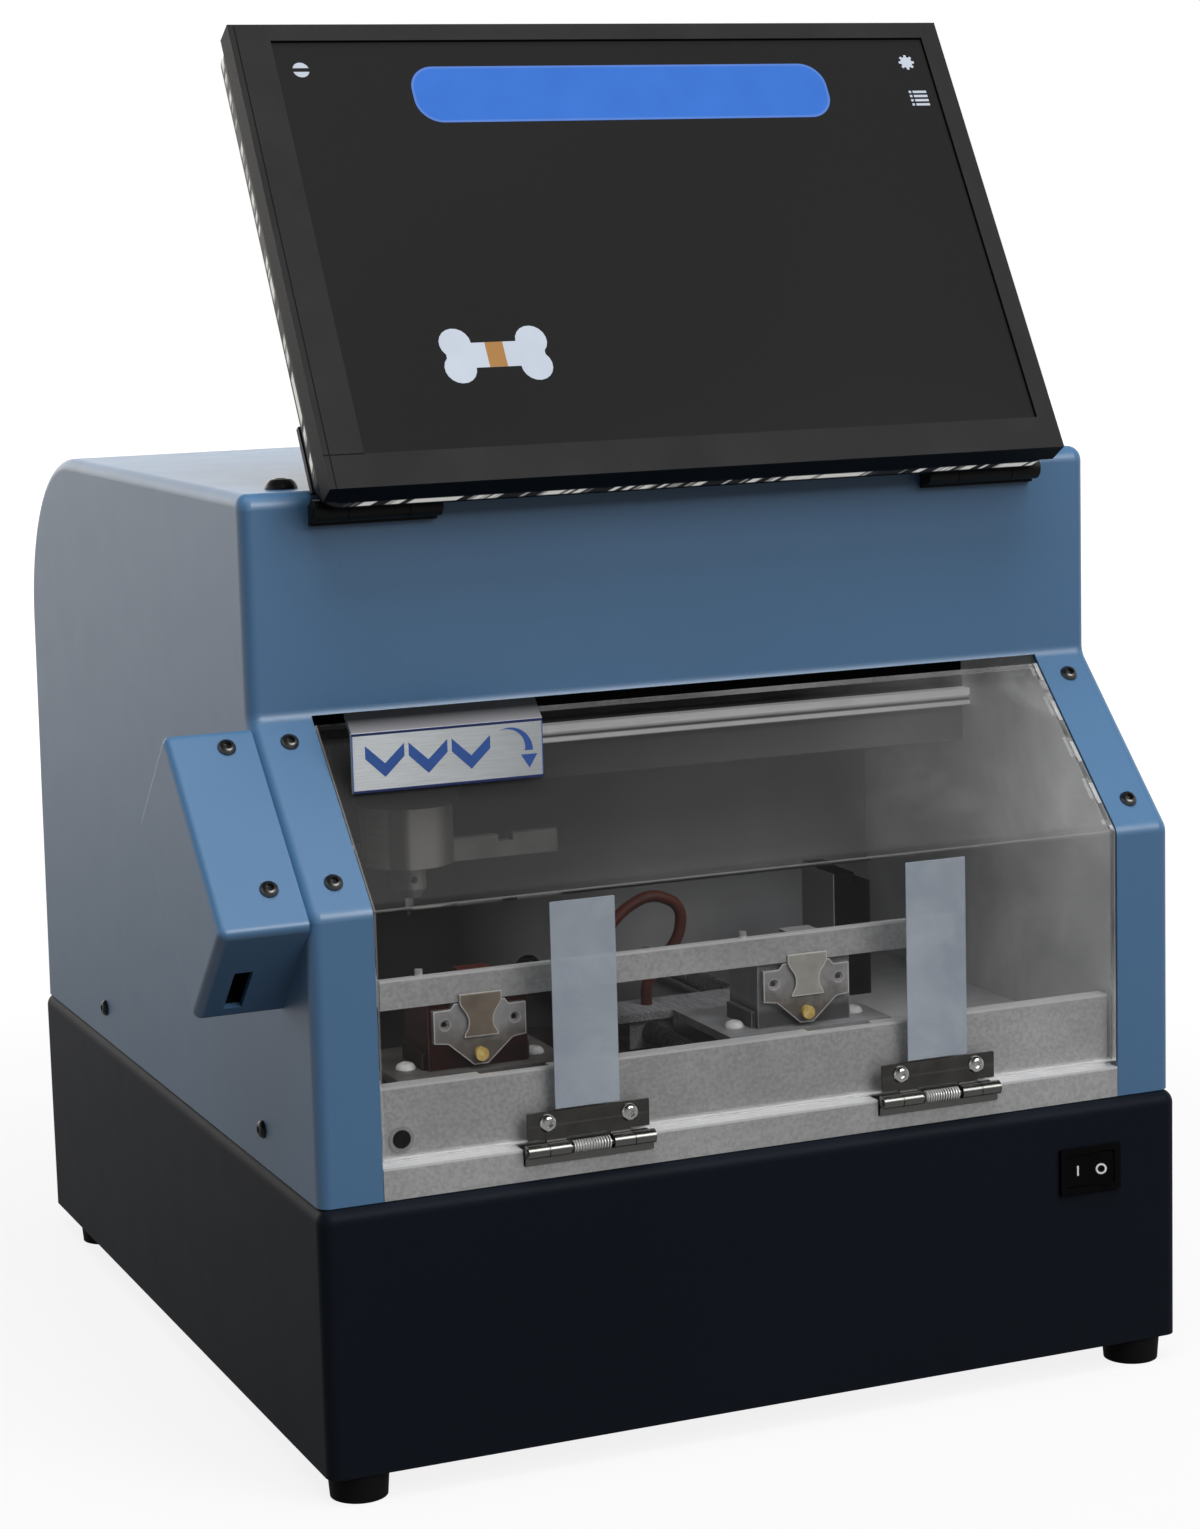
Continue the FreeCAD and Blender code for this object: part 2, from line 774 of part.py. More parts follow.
def make_guide_rods():
    """The two rods that the tag table runs on."""
    front = D.inner_panel_front + 2.0
    rods = [
        rod("Y", (x, front, D.rod_height), D.bulkhead_front - front, D.rod_radius)
        for x in GUIDE_ROD_X
    ]
    node("y_guide_rods", group(*rods))


MOTOR_HALF = 17.5
MOTOR_LENGTH = 28.0


def motor(axis, face):
    """A square stepper motor that stands along an axis from the middle of its mounting face."""
    along = {"X": 0, "Y": 1, "Z": 2}[axis]
    low = [as_size(part) - MOTOR_HALF for part in face]
    high = [as_size(part) + MOTOR_HALF for part in face]
    low[along] = as_size(face[along])
    high[along] = low[along] + MOTOR_LENGTH
    return box(low, high)


def make_motors():
    """The motors of the tag table and of the spindle's cross slide."""
    y_motor = motor("Y", (D.screw_x, D.bulkhead_front + PLATE_WALL, D.rod_height))
    x_motor = motor("X", (D.side_plate_inner - MOTOR_LENGTH, X_SCREW_Y, X_SCREW_Z))
    node("drive_motors", group(y_motor, x_motor))


def make_air_valve():
    """The black valve block on the deck, with a step at its upper right."""
    left, right, front, back = 87.8, 104.0, 122.0, 150.0
    step_width = 7.0
    step_top = D.deck_top + 46.0
    cap_top = D.deck_top + 50.0
    block = box((left, front, D.deck_top), (right, back, step_top))
    cap = box((left, front, step_top), (right - step_width, back, cap_top))
    node("air_valve", fuse(block, cap))


BEAM_BACK = 20.0


def make_beam_and_rail():
    """The cross beam and the bright rail on its front, with a groove along the rail."""
    reach = D.side_plate_inner
    beam_bottom, beam_top = 225.0, 262.0
    groove_low, groove_high, groove_depth = 2.6, 4.2, 1.0
    node("x_beam", box((-reach, D.rail_back, beam_bottom), (reach, D.rail_back + BEAM_BACK, beam_top)))
    rail = box((-reach, D.rail_front, D.rail_bottom), (reach, D.rail_back, D.rail_top))
    groove = box(
        (-reach - PAST, D.rail_front - PAST, D.rail_bottom + groove_low),
        (reach + PAST, D.rail_front + groove_depth, D.rail_bottom + groove_high),
    )
    node("x_rail", cut(rail, groove))


# ---------------------------------------------------------------- door and hinges

DOOR_CLEARANCE = 0.2


def door_face(y):
    """Height of the door's slanted outer face at a distance back."""
    bend = D.bend_height - DOOR_CLEARANCE
    return bend + (as_size(y) - D.door_front) * cosine(D.slant) / sine(D.slant)


def make_door_panel():
    """The clear door: an upright part and a slanted part bent from one sheet."""
    wall = D.door_wall
    front = D.door_front
    back = front + D.door_slant_run
    inner_bend = door_face(front) - wall * sine(D.slant) / (1 + cosine(D.slant))
    body = prism("YZ_Plane", [
        (front, D.door_bottom), (front, door_face(front)), (back, door_face(back)),
        (back + wall * cosine(D.slant), door_face(back) - wall * sine(D.slant)),
        (front + wall, inner_bend), (front + wall, D.door_bottom),
    ], -HALF_DOOR, HALF_DOOR)
    node("door_panel", body)


def make_strips():
    """Two frosted strips on the door's front."""
    front = D.door_front
    half, wall = D.strip_width / 2, 0.5
    strips = [
        box((x - half, front - wall, D.strip_bottom), (x + half, front, D.strip_top))
        for x in HINGES
    ]
    node("door_strips", group(*strips))


def knuckles(x, offsets):
    """Hinge knuckles round the pin, each from its left end."""
    bore = D.hinge_pin + D.fit
    return [
        tube("X", (x + offset, D.hinge_y, D.hinge_z), D.knuckle_length, D.knuckle_radius, bore)
        for offset in offsets
    ]


OUTER_KNUCKLES = (-24.2, 16.4)
INNER_KNUCKLES = (-16.1, 8.3)


LEAF_BOTTOM = 119.6
WEB_OFFSET = 1.4


def make_upper_leaves():
    """The hinge leaves on the door, each with its two inner knuckles."""
    leaves = []
    back = D.door_front
    front = back - D.leaf_wall
    half = D.leaf_width / 2
    for x in HINGES:
        leaf = box((x - half, front, LEAF_BOTTOM), (x + half, back, D.leaf_top))
        webs = [
            box(
                (x + offset, front, D.hinge_z + WEB_OFFSET),
                (x + offset + D.knuckle_length, back, LEAF_BOTTOM + 0.1),
            )
            for offset in INNER_KNUCKLES
        ]
        leaves.append(fuse(leaf, *webs, *knuckles(x, INNER_KNUCKLES)))
    node("hinge_upper_leaves", group(*leaves))


def make_lower_leaves():
    """The hinge leaves on the sill, each with its two outer knuckles."""
    leaves = []
    floor = as_size(110.7)
    apron_top = floor + 2.6
    leaf_back = D.ledge_back - 4.0
    back = D.hinge_y + D.knuckle_radius
    front = back - D.leaf_wall
    half = D.hinge_width / 2
    for x in HINGES:
        leaf = box((x - half, front, floor), (x + half, leaf_back, floor + D.leaf_wall))
        apron = box((x - half, front, floor), (x + half, back, apron_top))
        webs = [
            box(
                (x + offset, front, floor),
                (x + offset + D.knuckle_length, back, D.hinge_z - WEB_OFFSET),
            )
            for offset in OUTER_KNUCKLES
        ]
        leaves.append(fuse(leaf, apron, *webs, *knuckles(x, OUTER_KNUCKLES)))
    node("hinge_lower_leaves", group(*leaves))


def make_hinge_pins():
    """The two hinge pins."""
    stand_out = 0.4
    start = -D.hinge_width / 2 - stand_out
    length = D.hinge_width + 2 * stand_out
    pins = [rod("X", (x + start, D.hinge_y, D.hinge_z), length, D.hinge_pin) for x in HINGES]
    node("hinge_pins", group(*pins))


def make_hinge_springs():
    """The coil spring between the knuckles of each hinge, drawn as a sleeve with ring grooves."""
    half, outer, root = 6.9, 2.3, 1.95
    inner = D.hinge_pin + 0.1
    first, pitch, gap, turns = 6.2, 1.1, 0.35, 12
    springs = []
    for x in HINGES:
        coil = tube("X", (x - half, D.hinge_y, D.hinge_z), 2 * half, outer, inner)
        gaps = [
            tube("X", (x - first + pitch * turn, D.hinge_y, D.hinge_z), gap, outer + PAST, root)
            for turn in range(turns)
        ]
        springs.append(cut(coil, *gaps))
    node("hinge_springs", group(*springs))


def make_hinge_screws():
    """Button screws that hold the upper leaves to the door."""
    reach, height = 15.5, 125.2
    heads = [
        button_head("-Y", (x + side * reach, D.door_front - D.leaf_wall, height))
        for x in HINGES for side in (-1, 1)
    ]
    node("hinge_screws", group(*heads))


def make_handle():
    """The bent aluminium plate that serves as the door's handle, on two studs near the door's top."""
    wall = D.handle_wall
    front = D.handle_front
    top = D.handle_top
    foot = door_face(front + wall) + 0.1
    along_y, along_z = sine(D.slant), cosine(D.slant)
    leaf_y = front + D.handle_leaf * along_y
    leaf_z = top + D.handle_leaf * along_z
    inner_bend = top - wall * along_y / (1 + along_z)
    plate = prism("YZ_Plane", [
        (front, foot), (front, top), (leaf_y, leaf_z),
        (leaf_y + wall * along_z, leaf_z - wall * along_y),
        (front + wall, inner_bend), (front + wall, foot),
    ], D.handle_left, D.handle_right)
    stud_inset, stud_radius, clear, sunk = 14.0, 3.0, 0.03, 0.7
    stand_off = (top - door_face(front)) * along_y
    stud_y = (front + leaf_y) / 2 + (stand_off - clear) * along_z
    stud_z = (top + leaf_z) / 2 - (stand_off - clear) * along_y
    studs = []
    for x in (D.handle_left + stud_inset, D.handle_right - stud_inset):
        stud = rod("Z", (0, 0, 0), stand_off - clear - wall + sunk, stud_radius)
        studs.append(turned(stud, (x, stud_y, stud_z), VECTOR(1, 0, 0), 90 - D.slant))
    node("door_handle", fuse(plate, *studs))


def make_plunger():
    """The door button in the inner panel: a collar and a sprung plunger."""
    x, z = PLUNGER_PLACE
    face = D.inner_panel_front
    rim_wall, rim_radius = 0.6, 4.6
    sleeve_length, sleeve_radius, bore_radius = 11.0, 4.0, 3.3
    stem_front, stem_length, stem_radius = 0.3, 8.0, 3.2
    tip_length, tip_radius = 0.45, 2.0
    collar = rod("Y", (x, face - rim_wall, z), rim_wall, rim_radius)
    sleeve = rod("Y", (x, face, z), sleeve_length, sleeve_radius)
    bore = rod("Y", (x, face - PAST, z), sleeve_length + 2 * PAST, bore_radius)
    node("plunger_collar", cut(fuse(collar, sleeve), bore))
    stem = rod("Y", (x, face - stem_front, z), stem_length, stem_radius)
    tip = taper("-Y", (x, face - stem_front, z), tip_length, stem_radius, tip_radius)
    node("door_plunger", fuse(stem, tip))


# ---------------------------------------------------------------- tag table

def make_clamp_table():
    """The moving table: a U-shaped plate with bearing blocks and the drive nut beneath it."""
    left, right, front, back = D.table_left, D.table_right, D.table_front, D.table_back
    gap_left, gap_right, gap_back = -66.0, -3.0, 78.0
    bearing_half, bearing_length = 9.0, 24.0
    bearing_fronts = (22.0, 74.0)
    nut_front, nut_back = 80.0, 98.0
    plate = prism("XY_Plane", [
        (left, front), (gap_left, front), (gap_left, gap_back), (gap_right, gap_back),
        (gap_right, front), (right, front), (right, back), (left, back),
    ], D.table_bottom, TABLE_TOP)
    low = D.rod_height - D.rod_radius - 1.6
    bearings = [
        box((x - bearing_half, y, low), (x + bearing_half, y + bearing_length, D.table_bottom))
        for x in GUIDE_ROD_X for y in bearing_fronts
    ]
    nut = box(
        (D.screw_x - bearing_half, nut_front, low), (D.screw_x + bearing_half, nut_back, D.table_bottom)
    )
    bores = [
        rod("Y", (x, front, D.rod_height), back - front, D.rod_radius + D.fit)
        for x in (*GUIDE_ROD_X, D.screw_x)
    ]
    node("clamp_table", cut(fuse(plate, *bearings, nut), *bores))


def make_clamp_bases():
    """The plate under each clamp."""
    half, back = 32.5, 62.0
    front = D.table_front - 0.5
    bases = [box((x - half, front, TABLE_TOP), (x + half, back, CLAMP_BASE_TOP)) for x in CLAMPS]
    node("clamp_bases", group(*bases))


FACE_WALL = 2.5
BAR_WALL = 3.0


def make_clamp_blocks():
    """The clamp bodies, each with a post behind the cross bar and a wider foot."""
    block_half, back, block_top = 18.6, 46.0, 167.4
    post_half, post_back = 6.0, 30.0
    foot_half, foot_front, foot_rise = 20.0, 25.0, 6.0
    blocks = []
    for x in CLAMPS:
        front = D.clamp_face + FACE_WALL
        block = box((x - block_half, front, CLAMP_BASE_TOP), (x + block_half, back, block_top))
        post = box(
            (x - post_half, D.clamp_face + BAR_WALL, block_top - PAST),
            (x + post_half, post_back, D.bar_top),
        )
        foot = box(
            (x - foot_half, foot_front, CLAMP_BASE_TOP),
            (x + foot_half, back, CLAMP_BASE_TOP + foot_rise),
        )
        blocks.append(fuse(block, post, foot))
    node("clamp_blocks", group(*blocks))


def make_clamp_faces():
    """The eared steel plate on the front of each clamp, with two countersunk holes."""
    faces = []
    half = 17.2
    hole_reach, hole_z, hole_radius = 13.1, 160.2, 1.1
    sink_depth, sink_radius = 0.9, 2.0
    hole_length = FACE_WALL + 2 * PAST
    for x in CLAMPS:
        plate = prism("XZ_Plane", [
            (x - half, 153.9), (x - 12.0, 153.2), (x - 2.6, 144.9), (x + 2.6, 144.9),
            (x + 12.0, 153.2), (x + half, 153.9), (x + half, 165.4), (x + 11.0, 165.4),
            (x + 9.4, 167.4), (x - 9.4, 167.4), (x - 11.0, 165.4), (x - half, 165.4),
        ], D.clamp_face, D.clamp_face + FACE_WALL)
        holes = [
            rod("Y", (x + side * hole_reach, D.clamp_face - PAST, hole_z), hole_length, hole_radius)
            for side in (-1, 1)
        ]
        sinks = [
            taper("Y", (x + side * hole_reach, D.clamp_face, hole_z), sink_depth, sink_radius, hole_radius)
            for side in (-1, 1)
        ]
        faces.append(cut(plate, *holes, *sinks))
    node("clamp_faces", group(*faces))


def make_clamp_clips():
    """The two spring clips that hold a tag, narrow at the waist."""
    gap, wall = 0.3, 0.9
    back = D.clamp_face - gap
    for label, x in (("clamp_clip_left", D.clamp_left), ("clamp_clip_right", D.clamp_right)):
        clip = prism("XZ_Plane", [
            (x - 6.4, 155.2), (x + 6.4, 155.2), (x + 6.2, 156.3), (x + 5.0, 158.2), (x + 4.6, 160.0),
            (x + 4.7, 161.8), (x + 5.5, 163.8), (x + 7.1, 166.0), (x + 7.8, 167.6), (x + 7.8, 170.6),
            (x - 7.8, 170.6), (x - 7.8, 167.6), (x - 7.1, 166.0), (x - 5.5, 163.8), (x - 4.7, 161.8),
            (x - 4.6, 160.0), (x - 5.0, 158.2), (x - 6.2, 156.3),
        ], back - wall, back)
        node(label, clip)


def make_clamp_screws():
    """A brass screw low on each clamp and two pan-head screws on its base plate."""
    brass_offset, brass_z, brass_length, brass_radius = -0.3, 148.9, 2.4, 2.4
    brass = [
        rod("-Y", (x + brass_offset, D.clamp_face, brass_z), brass_length, brass_radius)
        for x in CLAMPS
    ]
    node("clamp_screws", group(*brass))
    pan_reach, pan_y, pan_height, pan_radius, pan_crown = 24.2, 31.0, 2.2, 3.6, 2.6
    pans = [
        taper("Z", (x + side * pan_reach, pan_y, CLAMP_BASE_TOP), pan_height, pan_radius, pan_crown)
        for x in CLAMPS for side in (-1, 1)
    ]
    node("clamp_base_screws", group(*pans))


def make_clamp_bar():
    """The flat bar across both clamps, with a stud by each clamp."""
    front = D.clamp_face
    left, right = -139.0, 86.0
    stud_places, stud_height, stud_radius = (D.clamp_left - 21.6, D.clamp_right - 24.5), 2.4, 1.4
    bar = box((left, front, D.bar_bottom), (right, front + BAR_WALL, D.bar_top))
    studs = [
        rod("Z", (x, front + BAR_WALL / 2, D.bar_top - 0.1), stud_height + 0.1, stud_radius)
        for x in stud_places
    ]
    node("clamp_bar", fuse(bar, *studs))


HOSE_ROUTE = (
    (-8.0, 140.75), (-8.0, 148.5), (-1.5, 157.0), (6.5, 165.5), (7.5, 177.5),
    (-5.0, 183.5), (-18.0, 177.5), (-26.5, 167.0), (-31.5, 157.0), (-32.0, 148.5), (-32.0, 140.75),
)
HOSE_RADIUS = 2.2
HOSE_Y = 91.0


def hose_path():
    """Straight runs joined by tangent arcs along the hose's route."""
    reach = 0.45
    points = [VECTOR(x, HOSE_Y, z) for x, z in HOSE_ROUTE]
    edges = []
    start = points[0]
    for before, corner, after in zip(points, points[1:], points[2:]):
        back = (before - corner).normalize()
        ahead = (after - corner).normalize()
        half_turn = (math.pi - back.getAngle(ahead)) / 2
        trim = reach * min((before - corner).Length, (after - corner).Length)
        radius = trim / math.tan(half_turn)
        print(f"hose arc radius {radius:.1f} mm")
        first = corner + back * trim
        last = corner + ahead * trim
        to_middle = (back + ahead).normalize()
        centre = corner + to_middle * (radius / math.cos(half_turn))
        edges.append(Part.LineSegment(start, first).toShape())
        edges.append(Part.Arc(first, centre - to_middle * radius, last).toShape())
        start = last
    edges.append(Part.LineSegment(start, points[-1]).toShape())
    return Part.Wire(edges)


def make_clamp_hose():
    """The red-brown air hose that loops up from the table between the clamps."""
    path = hose_path()
    first = path.Edges[0]
    start = first.FirstParameter
    section = Part.Wire(Part.makeCircle(HOSE_RADIUS, first.valueAt(start), first.tangentAt(start)))
    tube_shape = path.makePipeShell([section], True, True)
    expected = math.pi * HOSE_RADIUS ** 2 * path.Length
    print(f"hose length {path.Length:.1f} mm, volume {tube_shape.Volume:.0f} of {expected:.0f}")
    hose = DOC.addObject("Part::Feature", "hose")
    hose.Shape = tube_shape
    node("clamp_hose", hose)


def make_y_screw():
    """The table's lead screw, grooved at the front and plain at the back."""
    front = D.inner_panel_front + 2.3
    length = D.bulkhead_front + PLATE_WALL - front
    body = grooved_rod(length, D.rod_radius, depth=0.8, pitch=2.5, first=4.0, count=24)
    node("y_lead_screw", body, (D.screw_x, front, D.rod_height), VECTOR(1, 0, 0), as_size(-90))


# ---------------------------------------------------------------- spindle

X_SCREW_Z = 281.0
X_SCREW_Y = 124.0


def make_x_carriage():
    """The cross slide: an upright channel, a runner on the rail and a shelf for its motor."""
    x = D.spindle_x
    front, face, back = 101.5, 105.8, 109.8
    plate_half, plate_low, plate_top = 24.0, 206.0, 310.0
    cheek_inner, cheek_outer, cheek_low = 16.8, 21.6, 214.0
    shelf_low, shelf_front = 307.0, 66.5
    runner_low, runner_top = 233.0, 252.6
    nut_half, nut_rise = 10.0, 7.0
    arm_left, arm_right, arm_low, arm_top = 20.0, 68.0, 199.5, 208.0
    notch_left, notch_right, notch_low = 44.0, 50.0, 205.5
    gap = 0.3
    plate = box((x - plate_half, face, plate_low), (x + plate_half, back, plate_top))
    cheeks = [
        box((x - cheek_outer, front, cheek_low), (x - cheek_inner, face, shelf_low)),
        box((x + cheek_inner, front, cheek_low), (x + cheek_outer, face, shelf_low)),
    ]
    runner = box((x - plate_half, back, runner_low), (x + plate_half, D.rail_back - 0.5, runner_top))
    nut = box(
        (x - nut_half, back, X_SCREW_Z - nut_rise),
        (x + nut_half, X_SCREW_Y + nut_rise, X_SCREW_Z + nut_rise),
    )
    shelf = box((x - cheek_outer, shelf_front, shelf_low), (x + cheek_outer, face, plate_top))
    arm = box((x + arm_left, face, arm_low), (x + arm_right, back, arm_top))
    channel = box(
        (x - plate_half - PAST, D.rail_front - gap, D.rail_bottom - gap),
        (x + plate_half + PAST, D.rail_back, D.rail_top + gap),
    )
    bore = rod(
        "X", (x - nut_half - PAST, X_SCREW_Y, X_SCREW_Z), 2 * (nut_half + PAST), D.rod_radius + D.fit
    )
    passage = rod("Z", (x, D.spindle_y, shelf_low - PAST), 5.0, 8.0)
    notch = box((x + notch_left, face - PAST, notch_low), (x + notch_right, back + PAST, arm_top + PAST))
    solid = fuse(plate, *cheeks, runner, nut, shelf, arm)
    node("x_carriage", cut(solid, channel, bore, passage, notch))
    node("z_motor", motor("Z", (x, D.spindle_y, plate_top)))


def make_x_screw():
    """The cross slide's lead screw, between the left plate and its motor."""
    start = -D.side_plate_inner + 0.3
    length = D.side_plate_inner - MOTOR_LENGTH - start
    body = grooved_rod(length, D.rod_radius, depth=0.6, pitch=6.0, first=6.0, count=40)
    node("x_lead_screw", body, (start, X_SCREW_Y, X_SCREW_Z), VECTOR(0, 1, 0), as_size(90))


def make_z_slide():
    """The upright slide: a plate in the channel, a clamp round the spindle and a nut lug."""
    x, y = D.spindle_x, D.spindle_y
    plate_half, plate_front, plate_back = 16.5, 101.5, 105.5
    plate_low, plate_top = 210.0, 306.0
    clamp_half, clamp_low, clamp_top = 15.0, 228.0, 262.0
    ring_wall = 2.5
    lug_half, lug_front, lug_low = 9.0, 74.0, 300.0
    plate = box((x - plate_half, plate_front, plate_low), (x + plate_half, plate_back, plate_top))
    clamp = box((x - clamp_half, y, clamp_low), (x + clamp_half, plate_front, clamp_top))
    ring = rod("Z", (x, y, clamp_low), clamp_top - clamp_low, D.spindle_radius + ring_wall)
    lug = box((x - lug_half, lug_front, lug_low), (x + lug_half, plate_front, plate_top))
    clamp_height = clamp_top - clamp_low + 2 * PAST
    bore = rod("Z", (x, y, clamp_low - PAST), clamp_height, D.spindle_radius + D.fit)
    lug_height = plate_top - lug_low + 2 * PAST
    thread = rod("Z", (x, y, lug_low - PAST), lug_height, D.rod_radius + D.fit)
    node("z_slide", cut(fuse(plate, clamp, ring, lug), bore, thread))


def make_z_screw():
    """The upright slide's lead screw, hanging from its motor."""
    low, length = 275.6, 34.4
    body = grooved_rod(length, D.rod_radius, depth=0.6, pitch=3.0, first=2.0, count=10)
    node("z_lead_screw", body, (D.spindle_x, D.spindle_y, low))


def make_spindle():
    """The spindle motor's body, the nose that turns in it and the cutter."""
    x, y, low = D.spindle_x, D.spindle_y, D.spindle_bottom
    nose_low, nose_gap, nose_radius = 196.2, 0.4, 6.6
    chin_height, chin_radius = 3.3, 4.4
    neck_height, neck_radius, neck_fit = 8.0, 5.7, 0.3
    cutter_radius, cutter_low, cutter_length = 1.6, 189.4, 18.0
    point_height, point_radius = 3.0, 0.2
    port_z, port_radius = 200.0, 1.3
    can = rod("Z", (x, y, low), D.spindle_top - low, D.spindle_radius)
    mouth = rod("Z", (x, y, low - PAST), neck_height + PAST, neck_radius + neck_fit)
    node("spindle_body", cut(can, mouth))
    nose = rod("Z", (x, y, nose_low), low - nose_gap - nose_low, nose_radius)
    neck = rod("Z", (x, y, low - nose_gap - 0.1), neck_height, neck_radius)
    chin = taper("Z", (x, y, nose_low - chin_height), chin_height, chin_radius, nose_radius)
    bore = rod("Z", (x, y, nose_low - chin_height - PAST), 20.0, cutter_radius + D.fit)
    port = rod("-Y", (x, y, port_z), nose_radius + PAST, port_radius)
    node("collet_nose", cut(fuse(nose, neck, chin), bore, port))
    shank = rod("Z", (x, y, cutter_low), cutter_length, cutter_radius)
    point = taper("Z", (x, y, cutter_low - point_height), point_height, point_radius, cutter_radius)
    node("engraving_cutter", fuse(shank, point))


# ---------------------------------------------------------------- screen

TILT_AXIS = VECTOR(1, 0, 0)
BEZEL_DEPTH = 10.0
TRIM_DEPTH = 15.5
BACK_DEPTH = 18.3
ARM_DEPTH = 20.8


def screen_node(label, solid):
    """Places a screen sub-part: drawn upright from the lower front edge, then leaned back."""
    node(label, solid, (0, D.screen_y, D.screen_z), TILT_AXIS, -D.screen_lean)


def make_screen():
    """The screen's bezel, panel, clear middle plate and back cover."""
    half = D.bezel_width / 2
    height = D.bezel_height
    window_lip, panel_front, overlap, panel_gap = 3.0, 1.5, 4.0, 0.1
    trim_corner, cover_corner, inset = 8.0, 7.0, as_size(2.0)
    view_low = D.view_base
    view_high = D.view_base + D.view_height
    view_left = D.view_shift - D.view_width / 2
    view_right = D.view_shift + D.view_width / 2
    bezel = box((-half, 0, 0), (half, BEZEL_DEPTH, height))
    window = box((view_left, -PAST, view_low), (view_right, window_lip, view_high))
    rebate = box(
        (view_left - overlap, panel_front, view_low - overlap),
        (view_right + overlap, BEZEL_DEPTH + PAST, view_high + overlap),
    )
    screen_node("monitor_bezel", cut(bezel, window, rebate))
    reach = overlap - panel_gap
    panel = box(
        (view_left - reach, panel_front, view_low - reach),
        (view_right + reach, BEZEL_DEPTH, view_high + reach),
    )
    screen_node("screen_panel", group(panel))
    middle_plate = [(-half, 0), (half, 0), (half, height), (-half, height)]
    trim = prism("XZ_Plane", middle_plate, BEZEL_DEPTH, TRIM_DEPTH)
    round_edges(trim, trim_corner, lambda edge: runs_along(edge, "y"))
    screen_node("monitor_trim", trim)
    cover = prism("XZ_Plane", [
        (inset - half, inset), (half - inset, inset),
        (half - inset, height - inset), (inset - half, height - inset),
    ], TRIM_DEPTH, BACK_DEPTH)
    round_edges(cover, cover_corner, lambda edge: runs_along(edge, "y"))
    screen_node("monitor_back", cover)


TILT_ARMS = ((-144.0, -97.0), (97.0, 144.0))
EAR = 12.0


def make_tilt_brackets():
    """The black brackets on the hood's front that carry the screen's tilt pins."""
    y, z, bore = D.tilt_y, D.tilt_z, D.tilt_pin + D.fit
    plate_front, plate_drop, rise = 2.6, 5.3, 1.8
    ear_radius, relief_radius, pin_stand_out = 4.0, 4.4, 0.5
    brackets = []
    pins = []
    for left, right in TILT_ARMS:
        width = right - left
        plate = box((left, y + plate_front, z - plate_drop), (right, D.panel_front, z + rise))
        parts = [plate]
        for ear_left in (left, right - EAR):
            parts.append(box((ear_left, y, z - ear_radius), (ear_left + EAR, y + plate_front, z + rise)))
            parts.append(rod("X", (ear_left, y, z), EAR, ear_radius))
        bores = rod("X", (left - PAST, y, z), width + 2 * PAST, bore)
        relief = rod("X", (left + EAR, y, z), width - 2 * EAR, relief_radius)
        brackets.append(cut(fuse(*parts), bores, relief))
        pins.append(rod("X", (left - pin_stand_out, y, z), width + 2 * pin_stand_out, D.tilt_pin))
    node("monitor_brackets", group(*brackets))
    node("monitor_pins", group(*pins))


def make_tilt_arms():
    """The arms on the screen's back that turn on the tilt pins."""
    gap, web_gap = 0.3, 0.5
    knuckle_radius = 4.0
    web_rise, leaf_low, leaf_top = 7.0, 5.5, 34.0
    relief_depth, relief_rise = 6.0, 8.0
    back = D.tilt_y - D.screen_y
    rise = D.tilt_z - D.screen_z
    pin_y = back * cosine(D.screen_lean) - rise * sine(D.screen_lean)
    pin_z = back * sine(D.screen_lean) + rise * cosine(D.screen_lean)
    arms = []
    for left, right in TILT_ARMS:
        inner_left = left + EAR + gap
        inner_right = right - EAR - gap
        knuckle = rod("X", (inner_left, pin_y, pin_z), inner_right - inner_left, knuckle_radius)
        web = box((inner_left, BACK_DEPTH, pin_z), (inner_right, pin_y - web_gap, pin_z + web_rise))
        leaf = box((left, BACK_DEPTH, pin_z + leaf_low), (right, ARM_DEPTH, leaf_top))
        bore = rod("X", (left, pin_y, pin_z), right - left, D.tilt_pin + D.fit)
        front = box(
            (left - PAST, BACK_DEPTH - relief_depth, pin_z - relief_rise),
            (right + PAST, BACK_DEPTH, pin_z + relief_rise),
        )
        arms.append(cut(fuse(knuckle, web, leaf), bore, front))
    screen_node("monitor_arms", group(*arms))


# ---------------------------------------------------------------- assembly

def make_all():
    make_base_box()
    make_base_floor()
    make_feet()
    make_hood_shell()
    make_rear_panel()
    make_post_screws()
    make_hood_screws()
    make_port_box()
    make_port_socket()
    make_switch()
    make_inlet()
    make_power_supply()
    make_front_ledge()
    make_inner_panel()
    make_side_plates()
    make_deck_and_bulkhead()
    make_guide_rods()
    make_motors()
    make_air_valve()
    make_beam_and_rail()
    make_door_panel()
    make_strips()
    make_upper_leaves()
    make_lower_leaves()
    make_hinge_pins()
    make_hinge_springs()
    make_hinge_screws()
    make_handle()
    make_plunger()
    make_clamp_table()
    make_clamp_bases()
    make_clamp_blocks()
    make_clamp_faces()
    make_clamp_clips()
    make_clamp_screws()
    make_clamp_bar()
    make_clamp_hose()
    make_y_screw()
    make_x_carriage()
    make_x_screw()
    make_z_slide()
    make_z_screw()
    make_spindle()
    make_screen()
    make_tilt_brackets()
    make_tilt_arms()


def check_all():
    """Stops with a message if any object failed or any sub-part is not a sound solid."""
    for item in DOC.Objects:
        if "Invalid" in item.State or "Error" in item.State:
            raise ValueError(f"{item.Label} failed: {item.State}")
    for item in NODES:
        if item.Shape.isNull() or not item.Shape.isValid() or not item.Shape.Solids:
            raise ValueError(f"{item.Label} is not a valid solid")


make_all()
DOC.recompute()
check_all()
os.makedirs("parts", exist_ok=True)
for item in NODES:
    item.Shape.exportStep(f"parts/{item.Label}.step")
print(f"{len(NODES)} sub-parts written")
